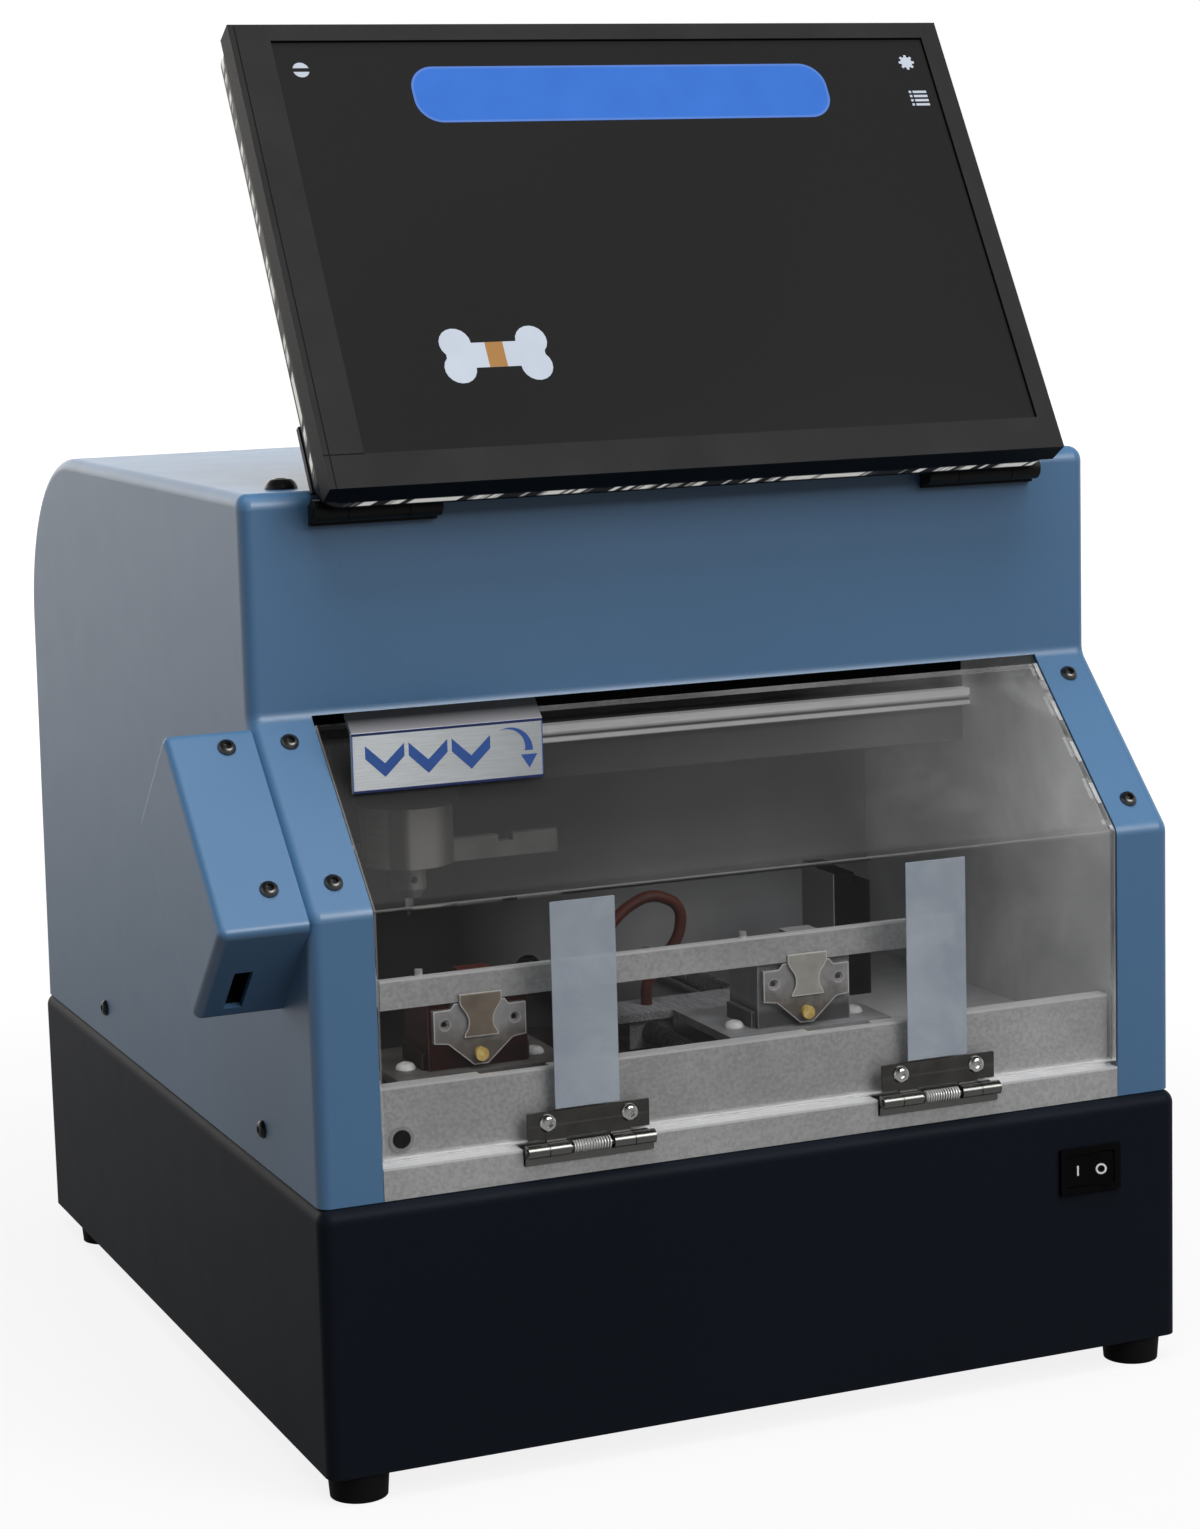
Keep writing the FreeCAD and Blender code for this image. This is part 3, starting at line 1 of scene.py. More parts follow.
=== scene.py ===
"""Looks of the tag engraving machine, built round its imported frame.  Lengths are in metres."""
import json
import math
from functools import reduce

import bmesh
import bpy
from mathutils import Matrix, Vector


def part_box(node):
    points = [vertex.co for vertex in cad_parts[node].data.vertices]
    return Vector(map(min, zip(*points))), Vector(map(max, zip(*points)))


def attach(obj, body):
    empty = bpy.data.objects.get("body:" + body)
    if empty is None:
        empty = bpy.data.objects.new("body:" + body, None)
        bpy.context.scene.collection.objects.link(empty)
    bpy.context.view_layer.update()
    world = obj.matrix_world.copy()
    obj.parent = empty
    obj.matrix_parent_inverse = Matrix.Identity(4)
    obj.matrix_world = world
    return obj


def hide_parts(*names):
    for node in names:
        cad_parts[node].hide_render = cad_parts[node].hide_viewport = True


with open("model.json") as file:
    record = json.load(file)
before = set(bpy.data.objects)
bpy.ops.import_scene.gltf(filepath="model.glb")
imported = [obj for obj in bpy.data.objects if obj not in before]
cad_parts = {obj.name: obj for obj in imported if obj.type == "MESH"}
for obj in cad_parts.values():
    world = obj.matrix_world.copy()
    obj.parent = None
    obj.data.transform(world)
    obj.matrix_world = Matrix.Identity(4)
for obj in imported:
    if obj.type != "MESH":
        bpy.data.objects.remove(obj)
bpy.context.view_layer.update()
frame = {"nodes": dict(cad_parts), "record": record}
MM = 0.001
NODES = frame["nodes"]


# ---------------------------------------------------------------- where things are

def joint(name):
    """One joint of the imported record."""
    return next(one for one in frame["record"]["behaviour"]["joints"] if one["name"] == name)


DOOR_LOW, DOOR_HIGH = (Vector(corner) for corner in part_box("door_panel"))
HANDLE_LOW, HANDLE_HIGH = (Vector(corner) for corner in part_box("door_handle"))
SPINDLE_LOW, SPINDLE_HIGH = (Vector(corner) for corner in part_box("spindle_body"))
VALVE_LOW, VALVE_HIGH = (Vector(corner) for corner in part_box("air_valve"))
BEZEL_LOW, BEZEL_HIGH = (Vector(corner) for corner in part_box("monitor_bezel"))
RAIL_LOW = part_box("x_rail")[0][2]
INNER_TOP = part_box("inner_front_panel")[1][2]
LEDGE_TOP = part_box("front_ledge")[1][2]
DECK_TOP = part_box("deck_plate")[1][2]
CLAMP_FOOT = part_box("clamp_blocks")[0][2]
BAR_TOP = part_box("clamp_blocks")[1][2]  # the clamp bar is level with the tops of its blocks
BARREL_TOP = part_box("hinge_lower_leaves")[1][2] + 0.3 * MM  # just above the rolled barrels
HANDLE_BEND = 262.2 * MM  # where the handle's upright face ends
DOOR_BEND = 206.3 * MM  # where the door turns from upright to slanting
VEIL_TOP = 257.0 * MM  # the whitish veil of painted reflection on the door's slant ends here
ARM_TOP = 210.6 * MM  # the top of the carriage's arm
LEAF_LINE = 124.3 * MM  # a painted highlight line along the hinges' upper leaves
SCREEN_LEAN = math.radians(30.9)  # back from upright
BEZEL_DEPTH = 10.0 * MM
VIEW_WIDTH = 265.7 * MM  # the screen's lit opening
VIEW_SHIFT = 3.7 * MM  # the opening's middle, to the right of the bezel's
VIEW_BASE = 12.9 * MM  # the opening's lower edge, up from the bezel's
GLASS = -1.5 * MM  # the glass, behind the bezel's face
PLATE_DEPTH = 12.9 * MM  # the clear plate's middle, behind the bezel's face


def screen_matrix():
    """From the screen's own plane (right, up, out of the glass) to the frame."""
    right = Vector((1, 0, 0))
    up = Vector((0, math.sin(SCREEN_LEAN), math.cos(SCREEN_LEAN)))
    out = Vector((0, -math.cos(SCREEN_LEAN), math.sin(SCREEN_LEAN)))
    foot = BEZEL_LOW.z + BEZEL_DEPTH * math.sin(SCREEN_LEAN)
    middle = Vector(((BEZEL_LOW.x + BEZEL_HIGH.x) / 2, BEZEL_LOW.y, foot))
    turn = Matrix((right, up, out)).transposed().to_4x4()
    return Matrix.Translation(middle) @ turn


SCREEN = screen_matrix()


# ---------------------------------------------------------------- node helpers

class Nodes:
    """Shorthand for the nodes of one tree."""

    def __init__(self, tree):
        self.tree = tree

    def add(self, kind, **settings):
        """A new node."""
        node = self.tree.nodes.new(kind)
        for key, value in settings.items():
            setattr(node, key, value)
        return node

    def join(self, source, target):
        """Links two sockets."""
        self.tree.links.new(source, target)

    def feed(self, target, value):
        """Links a socket, or sets a plain number or colour."""
        if isinstance(value, bpy.types.NodeSocket):
            self.join(value, target)
        else:
            target.default_value = value

    def spread(self, value, low, high, to_low=0.0, to_high=1.0):
        """Maps a range of values to another, clamped."""
        node = self.add("ShaderNodeMapRange")
        self.join(value, node.inputs["Value"])
        ends = {"From Min": low, "From Max": high, "To Min": to_low, "To Max": to_high}
        for key, number in ends.items():
            node.inputs[key].default_value = number
        return node.outputs["Result"]

    def maths(self, operation, first, second=0.0):
        """One operation on sockets or numbers."""
        node = self.add("ShaderNodeMath", operation=operation)
        self.feed(node.inputs[0], first)
        self.feed(node.inputs[1], second)
        return node.outputs[0]

    def product(self, *values):
        """All the values multiplied together."""
        return reduce(lambda so_far, value: self.maths("MULTIPLY", so_far, value), values)

    def largest(self, *values):
        """The largest of the values."""
        return reduce(lambda so_far, value: self.maths("MAXIMUM", so_far, value), values)

    def mix_shaders(self, factor, first, second, target):
        """Feeds a target with a mix of two shaders."""
        mix = self.add("ShaderNodeMixShader")
        for socket, source in zip(mix.inputs, (factor, first, second)):
            self.join(source, socket)
        self.join(mix.outputs[0], target)


class Finish(Nodes):
    """One material: a Principled shader and the nodes that feed it."""

    def __init__(self, name, colour, roughness=0.5, **constants):
        self.material = bpy.data.materials.new(name)
        self.material.use_nodes = True
        super().__init__(self.material.node_tree)
        self.shader = self.tree.nodes["Principled BSDF"]
        self.set("Base Color", (*colour, 1.0))
        self.set("Roughness", roughness)
        for key, value in constants.items():
            self.set(key.replace("_", " ").title().replace("Ior", "IOR"), value)
        self.position = self.add("ShaderNodeTexCoord").outputs["Object"]

    def set(self, name, value):
        """Feeds one of the shader's sockets."""
        self.feed(self.shader.inputs[name], value)

    def stretched(self, scale):
        """The position scaled by axis, so that a texture runs along one of them."""
        mapping = self.add("ShaderNodeMapping")
        self.join(self.position, mapping.inputs["Vector"])
        mapping.inputs["Scale"].default_value = scale
        return mapping.outputs["Vector"]

    def noise(self, scale, detail=4.0, roughness=0.55, vector=None, distortion=0.0):
        """Soft noise over the surface."""
        node = self.add("ShaderNodeTexNoise")
        self.join(vector or self.position, node.inputs["Vector"])
        node.inputs["Scale"].default_value = scale
        node.inputs["Detail"].default_value = detail
        node.inputs["Roughness"].default_value = roughness
        node.inputs["Distortion"].default_value = distortion
        return node.outputs["Fac"]

    def blend(self, factor, first, second):
        """A mix of two colours."""
        node = self.add("ShaderNodeMix", data_type="RGBA")
        self.feed(node.inputs["Factor"], factor)
        for socket, value in ((node.inputs[6], first), (node.inputs[7], second)):
            self.feed(socket, (*value, 1.0) if isinstance(value, tuple) else value)
        return node.outputs[2]

    def along(self, origin, direction):
        """Distance from a point along a direction."""
        away = self.add("ShaderNodeVectorMath", operation="SUBTRACT")
        self.join(self.position, away.inputs[0])
        away.inputs[1].default_value = origin
        onto = self.add("ShaderNodeVectorMath", operation="DOT_PRODUCT")
        self.join(away.outputs[0], onto.inputs[0])
        onto.inputs[1].default_value = direction
        return onto.outputs["Value"]

    def across(self):
        """Distance to the viewer's right."""
        return self.along((0, 0, 0), (1, 0, 0))

    def back(self):
        """Distance from front to back."""
        return self.along((0, 0, 0), (0, 1, 0))

    def up(self):
        """Height."""
        return self.along((0, 0, 0), (0, 0, 1))

    def on_screen(self):
        """Distances across the screen, up it and into it from its bezel's face."""
        right, up, out = SCREEN.to_3x3().transposed()
        return [self.along(tuple(SCREEN.translation), tuple(axis)) for axis in (right, up, -out)]

    def line(self, value, level, half_width, soft=0.2 * MM):
        """One within a half width of a level, fading to nothing over the soft width."""
        off = self.maths("ABSOLUTE", self.maths("SUBTRACT", value, level))
        return self.spread(off, half_width, half_width + soft, 1.0, 0.0)

    def edges(self, radius):
        """One along sharp edges, fading into the flat faces beside them."""
        rounded = self.add("ShaderNodeBevel", samples=4)
        rounded.inputs["Radius"].default_value = radius
        flat = self.add("ShaderNodeNewGeometry")
        same = self.add("ShaderNodeVectorMath", operation="DOT_PRODUCT")
        self.join(rounded.outputs["Normal"], same.inputs[0])
        self.join(flat.outputs["Normal"], same.inputs[1])
        return self.spread(same.outputs["Value"], 0.82, 0.99, 1.0, 0.0)

    def bump(self, height, distance):
        """Raises the surface by a height times a distance."""
        node = self.add("ShaderNodeBump")
        self.join(height, node.inputs["Height"])
        node.inputs["Distance"].default_value = distance
        node.inputs["Strength"].default_value = 1.0
        self.set("Normal", node.outputs["Normal"])

    def open_to_lamps(self, tint):
        """Lets light from lamps and the world reach what is behind clear plastic."""
        shadow = self.add("ShaderNodeLightPath").outputs["Is Shadow Ray"]
        clear = self.add("ShaderNodeBsdfTransparent")
        clear.inputs["Color"].default_value = (*tint, 1.0)
        surface = self.tree.nodes["Material Output"].inputs["Surface"]
        self.mix_shaders(shadow, self.shader.outputs[0], clear.outputs[0], surface)


# ---------------------------------------------------------------- materials

def paint(name, colour, roughness, speckle, **constants):
    """Sprayed satin paint with a slight orange peel and faint patches."""
    look = Finish(name, colour, roughness, **constants)
    patches = look.spread(look.noise(9.0, 3.0), 0.3, 0.7)
    darker = tuple(part * 0.96 for part in colour)
    lighter = tuple(part * 1.03 for part in colour)
    look.set("Base Color", look.blend(patches, darker, lighter))
    uneven = look.noise(60.0, 5.0)
    look.set("Roughness", look.spread(uneven, 0.3, 0.7, roughness - 0.012, roughness + 0.015))
    look.bump(look.noise(900.0, 2.0, 0.5), speckle)
    return look.material


def make_blue_paint():
    """The hood and the port box."""
    return paint("blue_paint", (0.05, 0.137, 0.265), 0.42, 0.00002, specular_ior_level=0.95)


def make_navy_paint():
    """The cabinet."""
    return paint("navy_paint", (0.0055, 0.0075, 0.012), 0.5, 0.00002, specular_ior_level=0.07)


def make_aluminium():
    """Mill-finish aluminium, finely brushed along the machine's width and a little stained, with
    painted highlights along the top edges of the inner panel, the ledge and the clamp bar.
    """
    look = Finish("aluminium", (0.25, 0.25, 0.25), 0.42, metallic=0.6)
    lines = look.noise(30.0, 6.0, 0.65, look.stretched((3.0, 60.0, 60.0)))
    stains = look.spread(look.noise(22.0, 6.0, 0.6), 0.38, 0.62)
    wear_and_edge_highlight = look.blend(stains, (0.42, 0.42, 0.416), (0.52, 0.522, 0.527))
    brushed = look.blend(look.spread(lines, 0.3, 0.7, 0.0, 0.35), wear_and_edge_highlight, (0.63, 0.63, 0.635))
    specks = look.spread(look.noise(700.0, 2.0), 0.4, 0.65, 0.0, 0.32)
    pitted = look.blend(specks, brushed, (0.22, 0.22, 0.222))
    up = look.up()
    # Painted highlights: bright lines along the top edges of the inner panel, the ledge and the
    # clamp bar.
    rim_highlights = [look.line(up, level, 0.7 * MM, 0.3 * MM) for level in (INNER_TOP, LEDGE_TOP, BAR_TOP)]
    bright = look.product(look.largest(*rim_highlights), 0.7)
    look.set("Base Color", look.blend(bright, pitted, (0.85, 0.85, 0.86)))
    look.set("Roughness", look.spread(lines, 0.25, 0.75, 0.36, 0.52))
    look.bump(lines, 0.00003)
    return look.material


def make_brushed_sign():
    """The handle: bright aluminium brushed along its width, darker up its sloped leaf as painted
    shade.
    """
    look = Finish("brushed_sign", (0.5, 0.52, 0.54), 0.4, metallic=0.2)
    across = look.along(tuple(HANDLE_LOW), (1, 0, 0))
    up = look.up()
    lines = look.noise(40.0, 8.0, 0.7, look.stretched((2.0, 90.0, 90.0)))
    brushed = look.spread(lines, 0.3, 0.7)
    light = look.blend(brushed, (0.5, 0.53, 0.54), (0.72, 0.75, 0.77))
    dull = look.blend(brushed, (0.3, 0.32, 0.33), (0.42, 0.44, 0.46))
    face = look.blend(look.spread(across, 12.0 * MM, 75.0 * MM), light, dull)
    # Painted shade: the sloped leaf darkens towards its top, under the hood.
    shade = look.spread(up, HANDLE_BEND, (HANDLE_BEND + 2 * HANDLE_HIGH.z) / 3)
    leaf = look.blend(shade, (0.2, 0.2, 0.213), (0.005, 0.006, 0.008))
    on_leaf = look.spread(up, HANDLE_BEND, HANDLE_BEND + 0.2 * MM)
    look.set("Base Color", look.blend(on_leaf, face, leaf))
    look.set("Roughness", look.spread(lines, 0.25, 0.75, 0.34, 0.5))
    look.bump(lines, 0.00003)
    return look.material


def make_steel(name, colour, roughness, metallic=1.0):
    """Turned or rolled steel with fine lines and faint dark marks."""
    look = Finish(name, colour, roughness, metallic=metallic)
    marks = look.spread(look.noise(120.0, 4.0), 0.35, 0.7)
    look.set("Base Color", look.blend(marks, tuple(part * 0.9 for part in colour), colour))
    uneven = look.noise(400.0, 3.0)
    look.set("Roughness", look.spread(uneven, 0.3, 0.7, roughness * 0.93, roughness * 1.08))
    return look.material


def make_brass():
    """Brass with faint darker marks."""
    look = Finish("brass", (0.85, 0.6, 0.2), 0.22, metallic=0.5)
    marks = look.spread(look.noise(500.0, 3.0), 0.35, 0.7)
    look.set("Base Color", look.blend(marks, (0.66, 0.43, 0.1), (0.98, 0.78, 0.3)))
    return look.material


def moulded(name, colour, roughness, grain_scale=1400.0, grain=0.00002, **constants):
    """Moulded plastic or rubber with a fine grain."""
    look = Finish(name, colour, roughness, **constants)
    fine = look.noise(grain_scale, 2.0)
    lighter = tuple(part * 1.25 for part in colour)
    patches = look.spread(look.noise(35.0, 4.0), 0.35, 0.7)
    look.set("Base Color", look.blend(patches, colour, lighter))
    look.set("Roughness", look.spread(fine, 0.3, 0.7, roughness - 0.05, roughness + 0.06))
    look.bump(fine, grain)
    return look.material


def make_clear_acrylic():
    """The door: clear acrylic, smudged at the right, with a whitish veil of painted reflection on
    its slant and at the right, and painted glints along its cut edges.
    """
    look = Finish("clear_acrylic", (0.83, 0.83, 0.83), 0.0, ior=1.22, transmission_weight=1.0)
    across, back, up = look.across(), look.back(), look.up()
    smudge = look.spread(look.noise(26.0, 5.0, 0.6, distortion=0.8), 0.48, 0.75)
    # Real smudges at the right, where the door also carries an even painted reflection.
    smudged_and_sheen_side = look.spread(across, DOOR_HIGH.x - 105.0 * MM, DOOR_HIGH.x - 30.0 * MM)
    slant = look.spread(up, DOOR_BEND, DOOR_BEND + 1.0 * MM)
    # Painted reflection: a whitish veil over the slant up to its top, fainter on the upright part.
    veil_zone = look.product(slant, look.spread(up, VEIL_TOP - 0.8 * MM, VEIL_TOP, 1.0, 0.0))
    uneven = look.spread(look.noise(5.0, 2.0), 0.3, 0.7, 0.8, 1.2)
    painted_veil = look.product(uneven, look.spread(veil_zone, 0.0, 1.0, 0.003, 0.019))
    rubbed = look.product(smudge, smudged_and_sheen_side, 0.05)
    smudges_and_painted_veil = look.maths("ADD", rubbed, look.maths("ADD", painted_veil, look.product(smudged_and_sheen_side, 0.024)))
    middle_x = (DOOR_LOW.x + DOOR_HIGH.x) / 2
    half = (DOOR_HIGH.x - DOOR_LOW.x) / 2
    off_middle = look.maths("ABSOLUTE", look.maths("SUBTRACT", across, middle_x))
    # Painted highlights: bright lines along the door's sides, foot and bend, and glinting dashes
    # down its right edge.
    side = look.line(off_middle, half, 0.5 * MM)
    foot = look.line(up, DOOR_LOW.z, 0.6 * MM)
    dashes_per_metre = 72.0
    glint_dash = look.spread(look.maths("FRACT", look.product(up, dashes_per_metre)), 0.5, 0.53)
    right = look.spread(across, DOOR_HIGH.x - 1.6 * MM, DOOR_HIGH.x - 1.4 * MM)
    outside = look.spread(back, DOOR_LOW.y + 1.2 * MM, DOOR_LOW.y + 1.6 * MM, 1.0, 0.0)
    veil_and_edge_glints = look.largest(
        smudges_and_painted_veil,
        look.product(side, 0.14),
        look.product(foot, 0.3),
        look.product(look.line(up, DOOR_BEND, 0.3 * MM), outside, 0.1),
        look.product(glint_dash, right, slant, 0.35),
    )
    look.set("Transmission Weight", look.maths("SUBTRACT", 1.0, veil_and_edge_glints))
    look.open_to_lamps((0.9, 0.9, 0.9))
    return look.material


def make_clear_trim():
    """The edge of the screen's clear middle plate: painted streaks of reflected light, glowing by
    emission, between black edges.
    """
    look = Finish("clear_trim", (0.01, 0.01, 0.01), 0.3, ior=1.12)
    across, up, depth = look.on_screen()
    band = look.line(depth, PLATE_DEPTH, 1.1 * MM, 0.6 * MM)
    slanted = look.maths("ADD", look.maths("ADD", across, up), look.product(depth, 0.7))
    place = look.add("ShaderNodeCombineXYZ")
    look.join(slanted, place.inputs["X"])
    short, long = (look.noise(scale, 1.0, vector=place.outputs[0]) for scale in (190.0, 26.0))
    streaks = look.maths("ADD", look.product(short, 0.5), look.product(long, 0.5))
    # Painted highlights: the streaks are whitened and glow by emission.
    light = look.product(band, look.spread(streaks, 0.48, 0.53, 0.02, 1.0))
    look.set("Base Color", look.blend(light, (0.006, 0.006, 0.006), (0.62, 0.61, 0.57)))
    look.set("Emission Color", (1.0, 0.98, 0.93, 1.0))
    look.set("Emission Strength", look.product(light, 0.4))
    return look.material


def make_bezel_plastic():
    """The screen's front frame: grained black plastic with seams by its lower left corner and
    painted shade on its sides.
    """
    look = Finish("bezel_plastic", (0.02, 0.02, 0.0205), 0.5, ior=1.15)
    across, up, depth = look.on_screen()
    view_left = VIEW_SHIFT - VIEW_WIDTH / 2
    on_left = look.spread(across, view_left, view_left + 0.1 * MM, 1.0, 0.0)
    seam = look.product(look.line(up, VIEW_BASE, 0.15 * MM), on_left)
    half = (BEZEL_HIGH.x - BEZEL_LOW.x) / 2
    rim = look.line(across, -half + 2.4 * MM, 0.12 * MM)
    # Painted shade: the frame's sides, behind its front face, are darkened.
    side = look.spread(depth, 0.2 * MM, 0.7 * MM)
    fine = look.noise(1600.0, 2.0)
    patches = look.spread(look.noise(35.0, 4.0), 0.35, 0.7)
    mottle = look.blend(patches, (0.019, 0.019, 0.0195), (0.024, 0.024, 0.0245))
    dark = look.largest(seam, rim, side)
    look.set("Base Color", look.blend(dark, mottle, (0.004, 0.004, 0.0045)))
    look.set("Roughness", look.spread(fine, 0.3, 0.7, 0.45, 0.56))
    look.bump(fine, 0.00003)
    return look.material


def make_frosted():
    """Frosted strips: bluish white, with light coming through."""
    look = Finish("frosted_strip", (0.4, 0.46, 0.54), 0.5)
    cloud = look.spread(look.noise(38.0, 6.0, 0.65, distortion=0.5), 0.36, 0.64)
    look.set("Base Color", look.blend(cloud, (0.37, 0.42, 0.49), (0.455, 0.505, 0.565)))
    look.set("Alpha", look.spread(look.noise(25.0, 3.0), 0.35, 0.65, 0.56, 0.68))
    return look.material


def make_screen():
    """The lit, empty screen."""
    look = Finish("screen", (0.006, 0.006, 0.006), 0.2)
    look.set("Emission Color", (1.0, 1.0, 1.04, 1.0))
    look.set("Emission Strength", 0.014)
    look.set("Specular IOR Level", 0.1)
    glow = look.spread(look.noise(4.0, 1.0), 0.3, 0.7)
    look.set("Base Color", look.blend(glow, (0.005, 0.005, 0.005), (0.008, 0.008, 0.008)))
    return look.material


def make_lit(name, colour, strength=1.0):
    """A lit shape on the screen."""
    look = Finish(name, (0.0, 0.0, 0.0), 0.4, specular_ior_level=0.0)
    fade = look.spread(look.noise(60.0, 2.0), 0.3, 0.7)
    darker = tuple(part * 0.93 for part in colour)
    look.set("Emission Color", look.blend(fade, darker, colour))
    look.set("Emission Strength", strength)
    return look.material


def make_ink(name, colour):
    """Printed ink, with slightly uneven cover."""
    look = Finish(name, colour, 0.45)
    cover = look.spread(look.noise(300.0, 3.0), 0.3, 0.7)
    look.set("Base Color", look.blend(cover, tuple(part * 0.88 for part in colour), colour))
    return look.material


def make_hose():
    """Soft red-brown tubing."""
    look = Finish("hose", (0.06, 0.012, 0.006), 0.35)
    marks = look.spread(look.noise(90.0, 3.0), 0.35, 0.7)
    look.set("Base Color", look.blend(marks, (0.045, 0.009, 0.005), (0.08, 0.016, 0.008)))
    return look.material


def make_rail():
    """The rail: a painted highlight along its top edge, a dark groove and a thin painted highlight
    line under it, both glowing by emission.
    """
    look = Finish("rail_steel", (0.3, 0.3, 0.3), 0.35, metallic=0.1)
    up = look.up()
    # Painted highlights: the top edge and the line under the groove are whitened and glow.
    top = look.spread(up, RAIL_LOW + 2.6 * MM, RAIL_LOW + 4.4 * MM)
    lower = look.product(look.line(up, RAIL_LOW + 1.2 * MM, 0.6 * MM, 0.6 * MM), 0.8)
    marks = look.noise(1.0, 4.0, 0.6, look.stretched((60.0, 400.0, 400.0)))
    level = look.product(look.largest(top, lower), look.spread(marks, 0.3, 0.7, 0.85, 1.0))
    look.set("Base Color", look.blend(level, (0.06, 0.06, 0.062), (0.97, 0.97, 0.97)))
    look.set("Emission Color", (1.0, 1.0, 1.0, 1.0))
    look.set("Emission Strength", look.product(level, 0.22))
    return look.material


def make_spindle_metal():
    """The spindle's turned steel, with a painted highlight down its right half and a band of
    painted shade beside that.
    """
    look = Finish("spindle_metal", (0.1, 0.095, 0.088), 0.4, metallic=0.7)
    middle = (SPINDLE_LOW + SPINDLE_HIGH) / 2
    across = look.along(tuple(middle), (0.92, -0.39, 0))
    # Painted highlight down the right of the body and a band of painted shade beside it.
    fading = look.spread(across, 11.0 * MM, 15.0 * MM, 1.0, 0.15)
    highlight_band = look.product(look.spread(across, 1.0 * MM, 2.6 * MM), fading)
    dull = look.line(across, -2.6 * MM, 2.2 * MM, 1.5 * MM)
    marks = look.spread(look.noise(1.0, 3.0, 0.6, look.stretched((60.0, 60.0, 500.0))), 0.3, 0.7)
    plain = look.blend(marks, (0.085, 0.08, 0.072), (0.125, 0.118, 0.106))
    shaded = look.blend(dull, plain, (0.045, 0.042, 0.038))
    look.set("Base Color", look.blend(highlight_band, shaded, (0.3, 0.29, 0.27)))
    return look.material


def make_blocks():
    """The clamp bodies: red-brown at the left, darkened there as painted shade, grey at the right,
    near black at the foot as painted shade, with painted highlights along their edges that grow
    stronger to the right.
    """
    look = Finish("clamp_block", (0.04, 0.04, 0.042), 0.3, specular_ior_level=0.08)
    right = look.spread(look.across(), -20.0 * MM, 0.0)
    cloud = look.spread(look.noise(60.0, 5.0, 0.6), 0.35, 0.65, 0.6, 1.0)
    brown = look.blend(cloud, (0.014, 0.003, 0.0025), (0.06, 0.011, 0.008))
    grey = look.blend(cloud, (0.08, 0.081, 0.084), (0.24, 0.243, 0.25))
    # Painted shade: the left block takes darker colours than the right.
    body = look.blend(right, brown, grey)
    # Painted shade: near black at the foot, where the block meets its base.
    foot = look.spread(look.up(), CLAMP_FOOT + 5.3 * MM, CLAMP_FOOT + 9.3 * MM, 0.7, 0.0)
    # Painted highlights along the edges, brighter on the right.
    wear_and_edge_highlight = look.product(look.edges(0.8 * MM), look.spread(right, 0.0, 1.0, 0.12, 0.6))
    shaded = look.blend(foot, body, (0.002, 0.002, 0.002))
    look.set("Base Color", look.blend(wear_and_edge_highlight, shaded, (0.4, 0.4, 0.41)))
    return look.material


def make_edged_steel(name, plain, lighter, foot, roughness, metallic):
    """Plated sheet steel, clouded, darker at the foot and bright at its edges as painted
    highlights.
    """
    look = Finish(name, plain, roughness, metallic=metallic)
    mottle = look.spread(look.noise(120.0, 5.0, 0.6), 0.35, 0.65)
    uneven = look.maths("ADD", look.up(), look.product(mottle, 4.0 * MM))
    clear_of_foot = look.spread(uneven, CLAMP_FOOT + 9.3 * MM, CLAMP_FOOT + 18.3 * MM)
    faced = look.blend(clear_of_foot, foot, look.blend(mottle, plain, lighter))
    # Painted highlights along the edges.
    look.set("Base Color", look.blend(look.edges(0.9 * MM), faced, (0.98, 0.97, 0.95)))
    spots = look.noise(90.0, 3.0)
    look.set("Roughness", look.spread(spots, 0.3, 0.7, roughness - 0.06, roughness + 0.08))
    return look.material


def make_carriage():
    """The black carriage, with a dull grey machined arm along its foot."""
    look = Finish("carriage_black", (0.006, 0.006, 0.006), 0.5, specular_ior_level=0.2)
    marks = look.spread(look.noise(80.0, 4.0), 0.35, 0.65)
    arm = look.blend(marks, (0.085, 0.083, 0.08), (0.13, 0.128, 0.122))
    body = look.blend(marks, (0.004, 0.004, 0.004), (0.008, 0.008, 0.008))
    on_arm = look.spread(look.up(), ARM_TOP, ARM_TOP + 0.3 * MM, 1.0, 0.0)
    look.set("Base Color", look.blend(on_arm, body, arm))
    return look.material


def graded(look, marks, left, right, start, stop):
    """One clouded pair of colours at the left that turns into another at the right."""
    side = look.spread(look.across(), start, stop)
    return look.blend(side, look.blend(marks, *left), look.blend(marks, *right))


def make_behind_grey():
    """The rear bulkhead: dark by the spindle and darker higher up, both as painted shade, lighter
    to the right, with broad dull patches.
    """
    look = Finish("behind_grey", (0.06, 0.06, 0.062), 0.5, specular_ior_level=0.04)
    patches = look.spread(look.noise(11.0, 4.0, 0.6), 0.35, 0.65)
    # Painted shade: the colours at the left are darker.
    dark = (0.026, 0.024, 0.024), (0.046, 0.043, 0.042)
    pale = (0.42, 0.424, 0.434), (0.56, 0.565, 0.578)
    plain = graded(look, patches, dark, pale, -25.0 * MM, 110.0 * MM)
    # Painted shade: darker higher up, under the hood.
    shade = look.spread(look.up(), DECK_TOP + 22.0 * MM, DECK_TOP + 46.0 * MM, 0.0, 0.5)
    look.set("Base Color", look.blend(shade, plain, (0.01, 0.01, 0.01)))
    return look.material


def make_deck():
    """The deck plate: darker at the left as painted shade, bare and brighter at the right."""
    look = Finish("deck_grey", (0.1, 0.1, 0.1), 0.5, specular_ior_level=0.1)
    marks = look.spread(look.noise(16.0, 5.0, 0.6), 0.35, 0.65)
    # Painted shade: the left colours are darker.
    shaded_left = (0.012, 0.009, 0.009), (0.03, 0.02, 0.019)
    bare = (0.36, 0.363, 0.37), (0.52, 0.524, 0.533)
    look.set("Base Color", graded(look, marks, shaded_left, bare, 10.0 * MM, 150.0 * MM))
    return look.material


